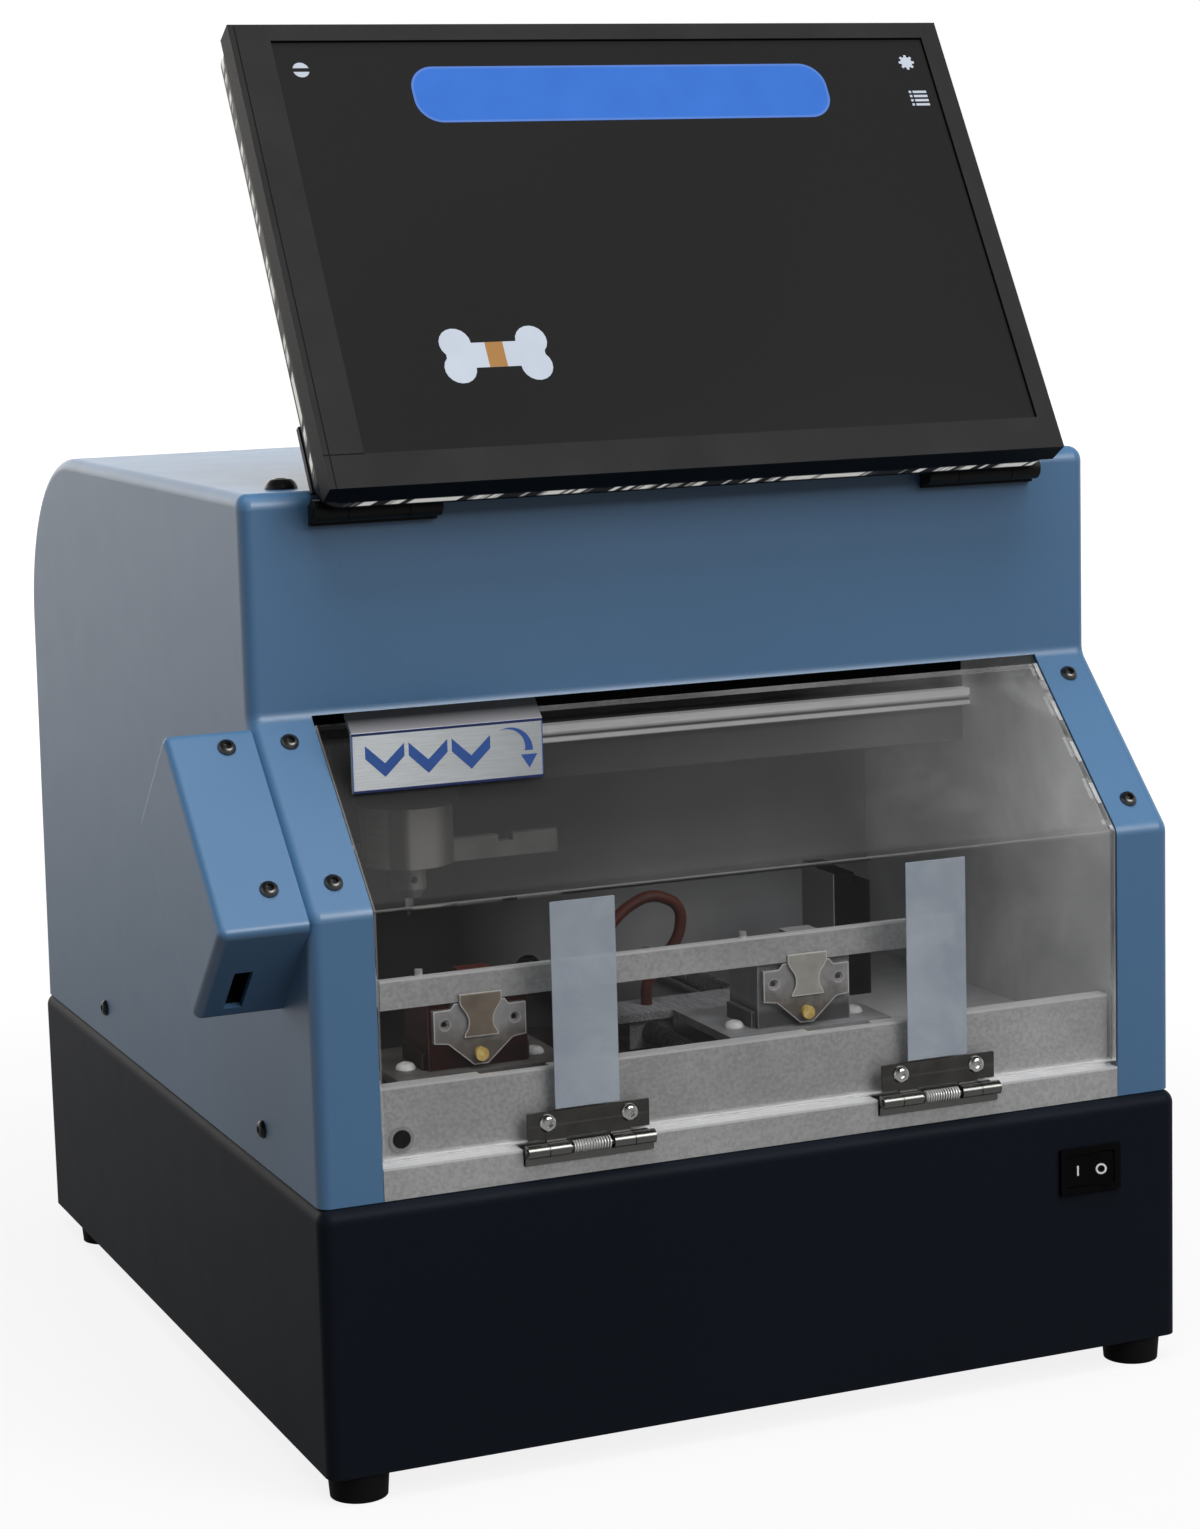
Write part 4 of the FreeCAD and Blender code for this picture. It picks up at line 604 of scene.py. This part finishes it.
def make_table():
    """The table: near black at the left as painted shade, scuffed grey along its travel at the
    right.
    """
    look = Finish("table_black", (0.05, 0.05, 0.05), 0.45, specular_ior_level=0.08)
    scuffs = look.noise(30.0, 5.0, 0.6, look.stretched((60.0, 4.0, 60.0)))
    black = (0.009, 0.009, 0.009), (0.016, 0.016, 0.0165)
    grey = (0.14, 0.142, 0.147), (0.32, 0.324, 0.334)
    marks = look.spread(scuffs, 0.35, 0.65)
    # Painted shade: near black at the left.
    look.set("Base Color", graded(look, marks, black, grey, -20.0 * MM, 2.0 * MM))
    return look.material


def make_base_plate():
    """The clamps' base plates: darker at the left as painted shade, dull grey at the right."""
    look = Finish("base_plate", (0.25, 0.25, 0.25), 0.45, metallic=0.5)
    marks = look.spread(look.noise(60.0, 5.0, 0.6), 0.35, 0.65)
    # Painted shade: the left colours are darker.
    shaded_left = (0.09, 0.085, 0.08), (0.2, 0.19, 0.18)
    dull = (0.26, 0.263, 0.27), (0.4, 0.404, 0.414)
    look.set("Base Color", graded(look, marks, shaded_left, dull, -40.0 * MM, 0.0))
    return look.material


def make_valve():
    """The air valve: a black block whose shaded left face is made pale as painted light."""
    look = Finish("valve_body", (0.01, 0.01, 0.01), 0.5, specular_ior_level=0.04)
    marks = look.spread(look.noise(50.0, 4.0), 0.35, 0.65)
    black = look.blend(marks, (0.003, 0.003, 0.003), (0.008, 0.008, 0.008))
    across = look.along(tuple(VALVE_LOW), (1, 0, 0))
    # Painted light: the left face is coloured pale.
    past_left = look.spread(across, 0.0, 0.03 * (VALVE_HIGH.x - VALVE_LOW.x))
    look.set("Base Color", look.blend(past_left, (0.45, 0.45, 0.46), black))
    return look.material


def make_beam():
    """The cross beam: black behind and above its rail, grey under it and paler to the right as
    painted light.
    """
    look = Finish("beam_grey", (0.05, 0.05, 0.05), 0.5, specular_ior_level=0.03)
    marks = look.spread(look.noise(18.0, 4.0), 0.35, 0.65, 0.9, 1.0)
    black = (0.0, 0.0, 0.0)
    # Painted light: paler to the right under the rail.
    left, right = (black, (0.022, 0.022, 0.022)), (black, (0.2, 0.202, 0.207))
    grey = graded(look, marks, left, right, -40.0 * MM, 150.0 * MM)
    behind_rail = look.spread(look.up(), RAIL_LOW - 0.5 * MM, RAIL_LOW + 0.5 * MM)
    look.set("Base Color", look.blend(behind_rail, grey, (0.004, 0.004, 0.004)))
    return look.material


def make_spring_steel():
    """Bright spring wire, ridged turn by turn, with painted shade between the turns."""
    look = Finish("spring_steel", (0.7, 0.7, 0.69), 0.3, metallic=0.7)
    pitch = 1.05 * MM
    wave = look.maths("SINE", look.product(look.across(), math.pi / pitch))
    turn = look.maths("ABSOLUTE", wave)
    # Painted shade: dark between the turns.
    ridge = look.spread(turn, 0.15, 0.6)
    look.set("Base Color", look.blend(ridge, (0.12, 0.118, 0.11), (0.86, 0.86, 0.85)))
    look.bump(turn, 0.0003)
    return look.material


def make_side_grey():
    """Dull grey plate, rubbed and smudged."""
    look = Finish("side_grey", (0.4, 0.402, 0.408), 0.5)
    smudge = look.spread(look.noise(14.0, 5.0, 0.6, distortion=0.6), 0.35, 0.68)
    look.set("Base Color", look.blend(smudge, (0.58, 0.584, 0.593), (0.92, 0.924, 0.93)))
    return look.material


def make_leaf_steel():
    """Polished dark steel of the hinges, with a painted reflection brightening the rolled barrel
    and a painted highlight line along the upper leaves.
    """
    look = Finish("leaf_steel", (0.16, 0.155, 0.145), 0.26, metallic=1.0)
    up = look.up()
    # Painted reflection on the barrel and a painted highlight line on the upper leaves.
    barrel = look.spread(up, BARREL_TOP, BARREL_TOP + 0.6 * MM, 1.0, 0.0)
    line = look.product(look.line(up, LEAF_LINE, 0.2 * MM, 0.3 * MM), 0.4)
    marks = look.spread(look.noise(150.0, 4.0), 0.3, 0.7)
    plain = look.blend(marks, (0.09, 0.088, 0.083), (0.13, 0.127, 0.12))
    look.set("Base Color", look.blend(look.largest(barrel, line), plain, (0.2, 0.197, 0.188)))
    return look.material


SLOT_MATERIAL = {
    "blue_paint": make_blue_paint(),
    "navy_paint": make_navy_paint(),
    "rubber": moulded("rubber", (0.005, 0.005, 0.005), 0.6, specular_ior_level=0.08),
    "black_metal": moulded(
        "black_metal", (0.009, 0.009, 0.009), 0.42, grain=0.000004, specular_ior_level=0.15
    ),
    "black_plastic": moulded(
        "black_plastic",
        (0.008, 0.008, 0.008),
        0.5,
        grain_scale=900.0,
        grain=0.00001,
        specular_ior_level=0.15,
    ),
    "gloss_black": moulded(
        "gloss_black", (0.002, 0.002, 0.002), 0.25, grain=0.000003, specular_ior_level=0.06
    ),
    "aluminium": make_aluminium(),
    "dark_steel": moulded("dark_steel", (0.03, 0.03, 0.03), 0.45, metallic=0.5),
    "steel": make_steel("steel", (0.5, 0.5, 0.49), 0.28),
    "brass": make_brass(),
    "clear_acrylic": make_clear_acrylic(),
    "frosted_strip": make_frosted(),
    "screen": make_screen(),
    "hose": make_hose(),
}
BRIGHT_STEEL = make_steel("bright_steel", (0.75, 0.75, 0.74), 0.16)
SEAT_STEEL = make_steel("seat_steel", (0.9, 0.9, 0.88), 0.2, 0.3)
BLACK_SCREW = make_steel("black_screw", (0.16, 0.158, 0.155), 0.34)
SCREW_DARK = moulded("screw_dark", (0.006, 0.006, 0.0065), 0.3, specular_ior_level=0.3)
LEAF_STEEL = make_leaf_steel()
SPINDLE_METAL = make_spindle_metal()
CARRIAGE_BLACK = make_carriage()
SIDE_GREY = make_side_grey()
LIT_BLUE = make_lit("lit_blue", (0.058, 0.2, 0.69))
LIT_PALE = make_lit("lit_pale", (0.62, 0.68, 0.78))
LIT_EDGE = make_lit("lit_edge", (0.12, 0.25, 0.7))
LIT_TAN = make_lit("lit_tan", (0.46, 0.24, 0.09))
BLUE_INK = make_ink("blue_ink", (0.027, 0.085, 0.31))
NAVY_INK = make_ink("navy_ink", (0.005, 0.015, 0.09))
WHITE_INK = make_ink("white_ink", (0.8, 0.8, 0.8))

OWN_MATERIAL = {
    "air_valve": make_valve(),
    "clamp_base_screws": SEAT_STEEL,
    "clamp_bases": make_base_plate(),
    "clamp_blocks": make_blocks(),
    # Painted shade: the left clip is a darker, browner copy of the right clip's steel.
    "clamp_clip_left": make_edged_steel(
        "clip_brown_painted_shade", (0.19, 0.15, 0.112), (0.255, 0.207, 0.16), (0.18, 0.145, 0.11), 0.34, 0.5
    ),
    "clamp_clip_right": make_edged_steel(
        "clip_steel", (0.4, 0.385, 0.35), (0.5, 0.483, 0.44), (0.38, 0.365, 0.33), 0.34, 0.5
    ),
    "clamp_faces": make_edged_steel(
        "face_steel", (0.27, 0.262, 0.262), (0.38, 0.372, 0.376), (0.13, 0.112, 0.096), 0.36, 0.4
    ),
    "clamp_table": make_table(),
    "collet_nose": SPINDLE_METAL,
    "deck_plate": make_deck(),
    "door_handle": make_brushed_sign(),
    "drive_motors": moulded("behind_black", (0.005, 0.005, 0.005), 0.5, specular_ior_level=0.03),
    "hinge_lower_leaves": LEAF_STEEL,
    "hinge_pins": LEAF_STEEL,
    "hinge_screws": BRIGHT_STEEL,
    "hinge_springs": make_spring_steel(),
    "hinge_upper_leaves": LEAF_STEEL,
    "hood_screws": SCREW_DARK,
    "monitor_bezel": make_bezel_plastic(),
    "monitor_trim": make_clear_trim(),
    "plunger_collar": make_steel("collar_steel", (0.8, 0.8, 0.79), 0.2),
    "post_screws": BLACK_SCREW,
    "rear_bulkhead": make_behind_grey(),
    "side_plate_left": SIDE_GREY,
    "side_plate_right": SIDE_GREY,
    "spindle_body": SPINDLE_METAL,
    "switch_bezel": SLOT_MATERIAL["gloss_black"],
    "x_beam": make_beam(),
    "x_carriage": CARRIAGE_BLACK,
    "x_rail": make_rail(),
    "z_slide": CARRIAGE_BLACK,
}


def dress(obj, material):
    """Gives an object one material."""
    obj.data.materials.clear()
    obj.data.materials.append(material)


def dress_nodes():
    """Gives every CAD node the material of its slot, or its own."""
    for sub_part in frame["record"]["subparts"]:
        name = sub_part["node"]
        dress(NODES[name], OWN_MATERIAL.get(name, SLOT_MATERIAL[sub_part["material_slot"]]))


# ---------------------------------------------------------------- mesh helpers

def piece(name, bm, material, body, smooth=False):
    """Turns a bmesh into an object that rides on a body."""
    bmesh.ops.recalc_face_normals(bm, faces=bm.faces)
    mesh = bpy.data.meshes.new(name)
    bm.to_mesh(mesh)
    bm.free()
    for face in mesh.polygons:
        face.use_smooth = smooth
    obj = bpy.data.objects.new(name, mesh)
    bpy.context.scene.collection.objects.link(obj)
    mesh.materials.append(material)
    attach(obj, body)
    return obj


def add_plate(bm, outline, matrix, bottom, top):
    """Adds a flat plate with the given outline, in the matrix's own plane."""
    rings = [
        [bm.verts.new(matrix @ Vector((x, y, height))) for x, y in outline]
        for height in (bottom, top)
    ]
    bm.faces.new(rings[1])
    bm.faces.new(list(reversed(rings[0])))
    for index in range(len(outline)):
        after = (index + 1) % len(outline)
        bm.faces.new((rings[0][index], rings[0][after], rings[1][after], rings[1][index]))


def arc(centre, radius, start, stop, steps):
    """Points on an arc; angles in degrees."""
    turns = [math.radians(start + (stop - start) * step / steps) for step in range(steps + 1)]
    return [
        (centre[0] + radius * math.cos(turn), centre[1] + radius * math.sin(turn)) for turn in turns
    ]


def rounded(left, bottom, right, top, radius, steps=8):
    """The outline of a rectangle with round corners."""
    return (
        arc((right - radius, bottom + radius), radius, -90, 0, steps)
        + arc((right - radius, top - radius), radius, 0, 90, steps)
        + arc((left + radius, top - radius), radius, 90, 180, steps)
        + arc((left + radius, bottom + radius), radius, 180, 270, steps)
    )


def rectangle(left, bottom, right, top):
    """The outline of a rectangle."""
    return [(left, bottom), (right, bottom), (right, top), (left, top)]


# ---------------------------------------------------------------- what the screen shows

LAYER = 0.05 * MM  # each layer on the glass stands this much prouder


def make_screen_bar():
    """The blank header bar, a pale edge round a blue field."""
    low, high = VIEW_BASE + 133.5 * MM, VIEW_BASE + 157.5 * MM
    left, right = -79.0 * MM, 90.0 * MM
    edge = 0.9 * MM
    half = (high - low) / 2
    bm = bmesh.new()
    border = rounded(left, low, right, high, half * 0.82, 12)
    add_plate(bm, border, SCREEN, GLASS, GLASS + LAYER)
    piece("screen_bar_edge", bm, LIT_EDGE, "monitor")
    bm = bmesh.new()
    field = rounded(left + edge, low + edge, right - edge, high - edge, (half - edge) * 0.82, 12)
    add_plate(bm, field, SCREEN, GLASS + LAYER, GLASS + 2 * LAYER)
    piece("screen_bar", bm, LIT_BLUE, "monitor")


def make_screen_icons():
    """Plain icons: a globe, a gear and a list."""
    bm = bmesh.new()
    top = GLASS + LAYER
    globe = Vector((-119.6, 169.4)) * MM
    for start, stop in ((15, 165), (195, 345)):
        add_plate(bm, arc(globe, 3.1 * MM, start, stop, 14), SCREEN, GLASS, top)
    gear = Vector((127.6, 170.6)) * MM
    teeth = []
    for tooth in range(8):
        angle = tooth * 45
        teeth += arc(gear, 3.3 * MM, angle - 9, angle + 9, 2)
        teeth += arc(gear, 2.4 * MM, angle + 14, angle + 31, 2)
    add_plate(bm, teeth, SCREEN, GLASS, top)
    left, bottom = 124.8 * MM, 150.9 * MM
    for row in range(4):
        level = bottom + row * 1.9 * MM
        for start, stop in ((0.0, 1.0 * MM), (1.7 * MM, 7.6 * MM)):
            entry = rectangle(left + start, level, left + stop, level + 1.0 * MM)
            add_plate(bm, entry, SCREEN, GLASS, top)
    piece("screen_icons", bm, LIT_PALE, "monitor")


def make_screen_tag():
    """A plain bone-shaped tag with a tan band, the thing about to be engraved."""
    centre = Vector((-71.5, 50.0)) * MM
    reach, rise, lobe = 14.5 * MM, 5.0 * MM, 6.0 * MM
    corners = ((1, -1, -180, 45), (1, 1, -45, 180), (-1, 1, 0, 225), (-1, -1, 135, 360))
    outline = []
    for across, up, start, stop in corners:
        outline += arc(centre + Vector((across * reach, up * rise)), lobe, start, stop, 12)
    bm = bmesh.new()
    add_plate(bm, outline, SCREEN, GLASS, GLASS + LAYER)
    piece("screen_tag", bm, LIT_PALE, "monitor")
    bm = bmesh.new()
    waist = 3.4 * MM
    band = rectangle(centre.x - waist, centre.y - rise, centre.x + waist, centre.y + rise)
    add_plate(bm, band, SCREEN, GLASS + LAYER, GLASS + 2 * LAYER)
    piece("screen_tag_band", bm, LIT_TAN, "monitor")


# ---------------------------------------------------------------- marks on the outside

def make_rocker_marks():
    """The stroke and ring on the two sloping halves of the switch's rocker."""
    rest_turn = math.radians(10.0)
    reach, rise, half = 5.0 * MM, 1.5 * MM, 9.2 * MM  # the rocker's face, from its pivot
    sink, proud = -0.02 * MM, 0.04 * MM
    pivot = Vector(joint("power_rocker_turn")["pos_m"])
    rocker = Matrix.Translation(pivot) @ Matrix.Rotation(-rest_turn, 4, "Z")
    tilt = math.atan2(rise, half)
    steps = 24
    bm = bmesh.new()
    for side in (-1, 1):
        turn = Matrix.Rotation(-side * tilt, 4, "Z")
        out, right = turn @ Vector((0, -1, 0)), turn @ Vector((1, 0, 0))
        face = Vector((side * half / 2, -(reach - rise / 2), 0))
        local = Matrix((right, Vector((0, 0, 1)), out)).transposed().to_4x4()
        plane = rocker @ Matrix.Translation(face) @ local
        if side < 0:
            stroke = rectangle(-0.35 * MM, -1.9 * MM, 0.35 * MM, 1.9 * MM)
            add_plate(bm, stroke, plane, sink, proud)
            continue
        outer = arc((0, 0), 2.1 * MM, 0, 360 - 360 / steps, steps - 1)
        inner = arc((0, 0), 1.35 * MM, 0, 360 - 360 / steps, steps - 1)
        for index in range(steps):
            after = (index + 1) % steps
            part = [outer[index], outer[after], inner[after], inner[index]]
            add_plate(bm, part, plane, sink, proud)
    piece("rocker_marks", bm, WHITE_INK, "rocker")


def make_sign_marks():
    """A border, three plain chevrons and a curved arrow on the handle's face."""
    face = Matrix.Translation(HANDLE_LOW) @ Matrix.Rotation(math.radians(90), 4, "X")
    width = HANDLE_HIGH.x - HANDLE_LOW.x
    height = HANDLE_BEND - HANDLE_LOW.z
    thick = 0.05 * MM
    rule = 0.9 * MM
    side_rule = 0.35 * MM
    border = bmesh.new()
    for level in (0.0, height - rule):
        add_plate(border, rectangle(0.0, level, width, level + rule), face, 0.0, thick)
    piece("handle_border", border, NAVY_INK, "door")
    bm = bmesh.new()
    for left in (0.0, width - side_rule):
        add_plate(bm, rectangle(left, rule, left + side_rule, height - rule), face, 0.0, thick)
    centre = height / 2
    first, pitch = 12.0 * MM, 16.0 * MM
    chevron = ((-7.2, 6.0), (0.0, -0.6), (7.2, 6.0), (7.2, 1.4), (0.0, -5.4), (-7.2, 1.4))
    for step in range(3):
        left = first + step * pitch
        outline = [(left + x * MM, centre + z * MM) for x, z in chevron]
        add_plate(bm, outline, face, 0.0, thick)
    hub_x, hub_z = width - 12.6 * MM, 9.9 * MM
    turns = [math.radians(angle) for angle in range(0, 116, 5)]
    reaches = [(5.7 + 2.9 * turn / turns[-1]) * MM for turn in turns]
    outer = [
        (hub_x + 8.8 * MM * math.cos(turn), hub_z + 8.6 * MM * math.sin(turn)) for turn in turns
    ]
    inner = [
        (hub_x + reach * math.cos(turn), hub_z + reach * math.sin(turn))
        for turn, reach in zip(turns, reaches)
    ]
    add_plate(bm, outer + inner[::-1], face, 0.0, thick)
    tip = hub_x + 7.3 * MM
    barb = hub_z - 1.4 * MM
    head = [(tip, hub_z - 6.3 * MM), (tip + 3.1 * MM, barb), (tip - 3.1 * MM, barb)]
    add_plate(bm, head, face, 0.0, thick)
    piece("handle_marks", bm, BLUE_INK, "door")


# ---------------------------------------------------------------- button screws

def loose_solids(node):
    """The separate solids of a CAD node, each as its own bmesh."""
    whole = bmesh.new()
    whole.from_mesh(NODES[node].data)
    bmesh.ops.remove_doubles(whole, verts=whole.verts, dist=1e-6)
    waiting = set(whole.verts)
    solids = []
    while waiting:
        found = set()
        front = [waiting.pop()]
        while front:
            vert = front.pop()
            found.add(vert)
            for edge in vert.link_edges:
                other = edge.other_vert(vert)
                if other in waiting:
                    waiting.discard(other)
                    front.append(other)
        solids.append((found, {face for vert in found for face in vert.link_faces}))
    return whole, solids


def head_frame(faces):
    """A matrix at the middle of a head's widest flat face, its Z pointing out along the screw."""
    flats = {}
    for face in faces:
        key = tuple(round(part, 2) for part in face.normal)
        flats.setdefault(key, []).append(face)
    base = max(flats.values(), key=lambda some: sum(face.calc_area() for face in some))
    corners = {vert for face in base for vert in face.verts}
    low = Vector([min(vert.co[axis] for vert in corners) for axis in range(3)])
    high = Vector([max(vert.co[axis] for vert in corners) for axis in range(3)])
    out = -base[0].normal
    return Matrix.Translation((low + high) / 2) @ out.to_track_quat("Z", "Y").to_matrix().to_4x4()


def add_button_head(bm, matrix, radius, height):
    """A domed head with a hexagonal socket."""
    steps = 36
    dome = [
        (1.0, 0.0), (1.0, 0.16), (0.97, 0.34), (0.88, 0.6), (0.76, 0.8), (0.62, 0.94), (0.52, 0.99),
    ]
    socket = radius * 0.36
    profile = [[(radius * reach, height * rise)] * steps for reach, rise in dome]
    turns = [2 * math.pi * step / steps for step in range(steps)]
    sixth = math.pi / 3
    hexagon = [socket / math.cos((turn + sixth / 2) % sixth - sixth / 2) for turn in turns]
    for widen, rise in ((1.06, 0.99), (1.0, 0.9), (1.0, 0.25)):
        profile.append([(reach * widen, height * rise) for reach in hexagon])
    rings = [
        [
            bm.verts.new(matrix @ Vector((reach * math.cos(turn), reach * math.sin(turn), rise)))
            for turn, (reach, rise) in zip(turns, ring)
        ]
        for ring in profile
    ]
    for lower, upper in zip(rings, rings[1:]):
        for index in range(steps):
            after = (index + 1) % steps
            bm.faces.new((lower[index], lower[after], upper[after], upper[index]))
    bm.faces.new(rings[-1])
    bm.faces.new(list(reversed(rings[0])))


def make_button_heads():
    """Domed socket heads in place of the plain ones."""
    heads = {
        "post_screws": ("chassis", "black_metal", BLACK_SCREW),
        "hood_screws": ("chassis", "black_metal", SCREW_DARK),
        "hinge_screws": ("door", "steel", BRIGHT_STEEL),
        "clamp_base_screws": ("tag_table", "steel", SEAT_STEEL),
    }
    for node, (body, slot, material) in heads.items():
        whole, solids = loose_solids(node)
        bm = bmesh.new()
        for verts, faces in solids:
            place = head_frame(faces)
            inside = place.inverted()
            points = [inside @ vert.co for vert in verts]
            radius = max(math.hypot(point.x, point.y) for point in points)
            add_button_head(bm, place, radius, max(point.z for point in points))
        whole.free()
        obj = piece(node + "_heads", bm, material, body, smooth=True)
        obj.data.set_sharp_from_angle(angle=math.radians(35))
        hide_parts(node)


# ---------------------------------------------------------------- room, lamps, camera

def make_world():
    """White to the camera.  To gloss and glass, darker above and in front.  Soft for the rest."""
    world = bpy.data.worlds.new("studio")
    bpy.context.scene.world = world
    world.use_nodes = True
    nodes = Nodes(world.node_tree)
    soft = nodes.tree.nodes["Background"]
    soft.inputs["Color"].default_value = (1, 1, 1, 1)
    soft.inputs["Strength"].default_value = 0.09
    room = nodes.add("ShaderNodeBackground")
    room.inputs["Color"].default_value = (1, 1, 1, 1)
    path = nodes.add("ShaderNodeLightPath").outputs
    direction = nodes.add("ShaderNodeSeparateXYZ")
    nodes.join(nodes.add("ShaderNodeTexCoord").outputs["Generated"], direction.inputs[0])
    above = nodes.spread(direction.outputs["Z"], 0.2, 0.75, 1.0, 0.06)
    in_front = nodes.spread(direction.outputs["Y"], -0.5, 0.3, 0.22, 1.0)
    level = nodes.product(above, in_front)
    nodes.join(nodes.largest(level, path["Is Camera Ray"]), room.inputs["Strength"])
    rays = ("Is Camera Ray", "Is Glossy Ray", "Is Transmission Ray")
    seen = nodes.largest(*(path[name] for name in rays))
    surface = nodes.tree.nodes["World Output"].inputs["Surface"]
    nodes.mix_shaders(seen, soft.outputs[0], room.outputs[0], surface)


def make_floor():
    """A plain pale floor that keeps the object's shadow."""
    reach, thick = 6.0, 0.01
    bm = bmesh.new()
    add_plate(bm, rectangle(-reach, -reach, reach, reach), Matrix(), -thick, 0.0)
    mesh = bpy.data.meshes.new("floor")
    bm.to_mesh(mesh)
    bm.free()
    floor = bpy.data.objects.new("floor", mesh)
    bpy.context.scene.collection.objects.link(floor)
    look = Finish("floor_paper", (0.08, 0.08, 0.08), 0.9, specular_ior_level=0.1)
    path = look.add("ShaderNodeLightPath").outputs
    distance = look.add("ShaderNodeVectorMath", operation="LENGTH")
    look.join(look.position, distance.inputs[0])
    away = distance.outputs["Value"]
    near_level = look.spread(away, 0.4, 1.6, 0.86, 1.1)
    behind = look.spread(look.back(), -1.0, 0.4, 0.2, 1.0)
    gloss_level = look.product(look.spread(away, 0.5, 2.2, 0.35, 1.0), behind)
    glancing = look.largest(path["Is Glossy Ray"], path["Is Transmission Ray"])
    seen = look.product(path["Is Camera Ray"], near_level)
    look.set("Emission Color", (1.0, 1.0, 1.0, 1.0))
    look.set("Emission Strength", look.maths("ADD", seen, look.product(glancing, gloss_level)))
    mesh.materials.append(look.material)


def make_lamp(name, place, aim, width, height, power, in_gloss=True, colour=(1, 1, 1)):
    """A soft rectangular lamp aimed at a point."""
    data = bpy.data.lights.new(name, "AREA")
    data.shape = "RECTANGLE"
    data.size = width
    data.size_y = height
    data.energy = power
    data.color = colour
    lamp = bpy.data.objects.new(name, data)
    lamp.location = place
    lamp.rotation_euler = (Vector(aim) - Vector(place)).to_track_quat("-Z", "Y").to_euler()
    lamp.visible_camera = False
    lamp.visible_glossy = in_gloss
    lamp.visible_transmission = False
    bpy.context.scene.collection.objects.link(lamp)


def make_lamps():
    """One soft lamp in front, one above and one behind."""
    make_lamp("front_lamp", (0.9, -2.4, 1.9), (0, 0, 0.25), 1.8, 1.4, 53)
    make_lamp("top_lamp", (0.0, -0.6, 2.6), (0, 0, 0.25), 2.0, 2.0, 73, in_gloss=False)
    make_lamp("back_lamp", (-0.5, 2.8, 0.95), (0, 0, 0.3), 3.4, 1.3, 22, colour=(1, 0.96, 0.9))


def make_camera():
    """The photograph's view."""
    place = (-0.49305, -1.24426, 0.43299)
    yaw, pitch, roll = (math.radians(angle) for angle in (22.720, 8.541, -1.594))
    data = bpy.data.cameras.new("camera")
    data.sensor_width = 36.0
    data.lens = 79.26
    data.shift_x = 0.0080
    data.shift_y = -0.0210
    data.clip_start = 0.05
    camera = bpy.data.objects.new("camera", data)
    flat = math.cos(pitch)
    ahead = Vector((math.sin(yaw) * flat, math.cos(yaw) * flat, -math.sin(pitch)))
    level = Vector((math.cos(yaw), -math.sin(yaw), 0))
    down = ahead.cross(level)
    right = level * math.cos(roll) - down * math.sin(roll)
    lower = level * math.sin(roll) + down * math.cos(roll)
    turn = Matrix((right, -lower, -ahead)).transposed().to_4x4()
    camera.matrix_world = Matrix.Translation(place) @ turn
    bpy.context.scene.collection.objects.link(camera)
    bpy.context.scene.camera = camera


# ---------------------------------------------------------------- the scene

def main():
    """Dresses the frame, adds the pieces and sets up the studio."""
    dress_nodes()
    make_screen_bar()
    make_screen_icons()
    make_screen_tag()
    make_rocker_marks()
    make_sign_marks()
    make_button_heads()
    make_world()
    make_floor()
    make_lamps()
    make_camera()
    bpy.context.scene.view_settings.view_transform = "Standard"


main()
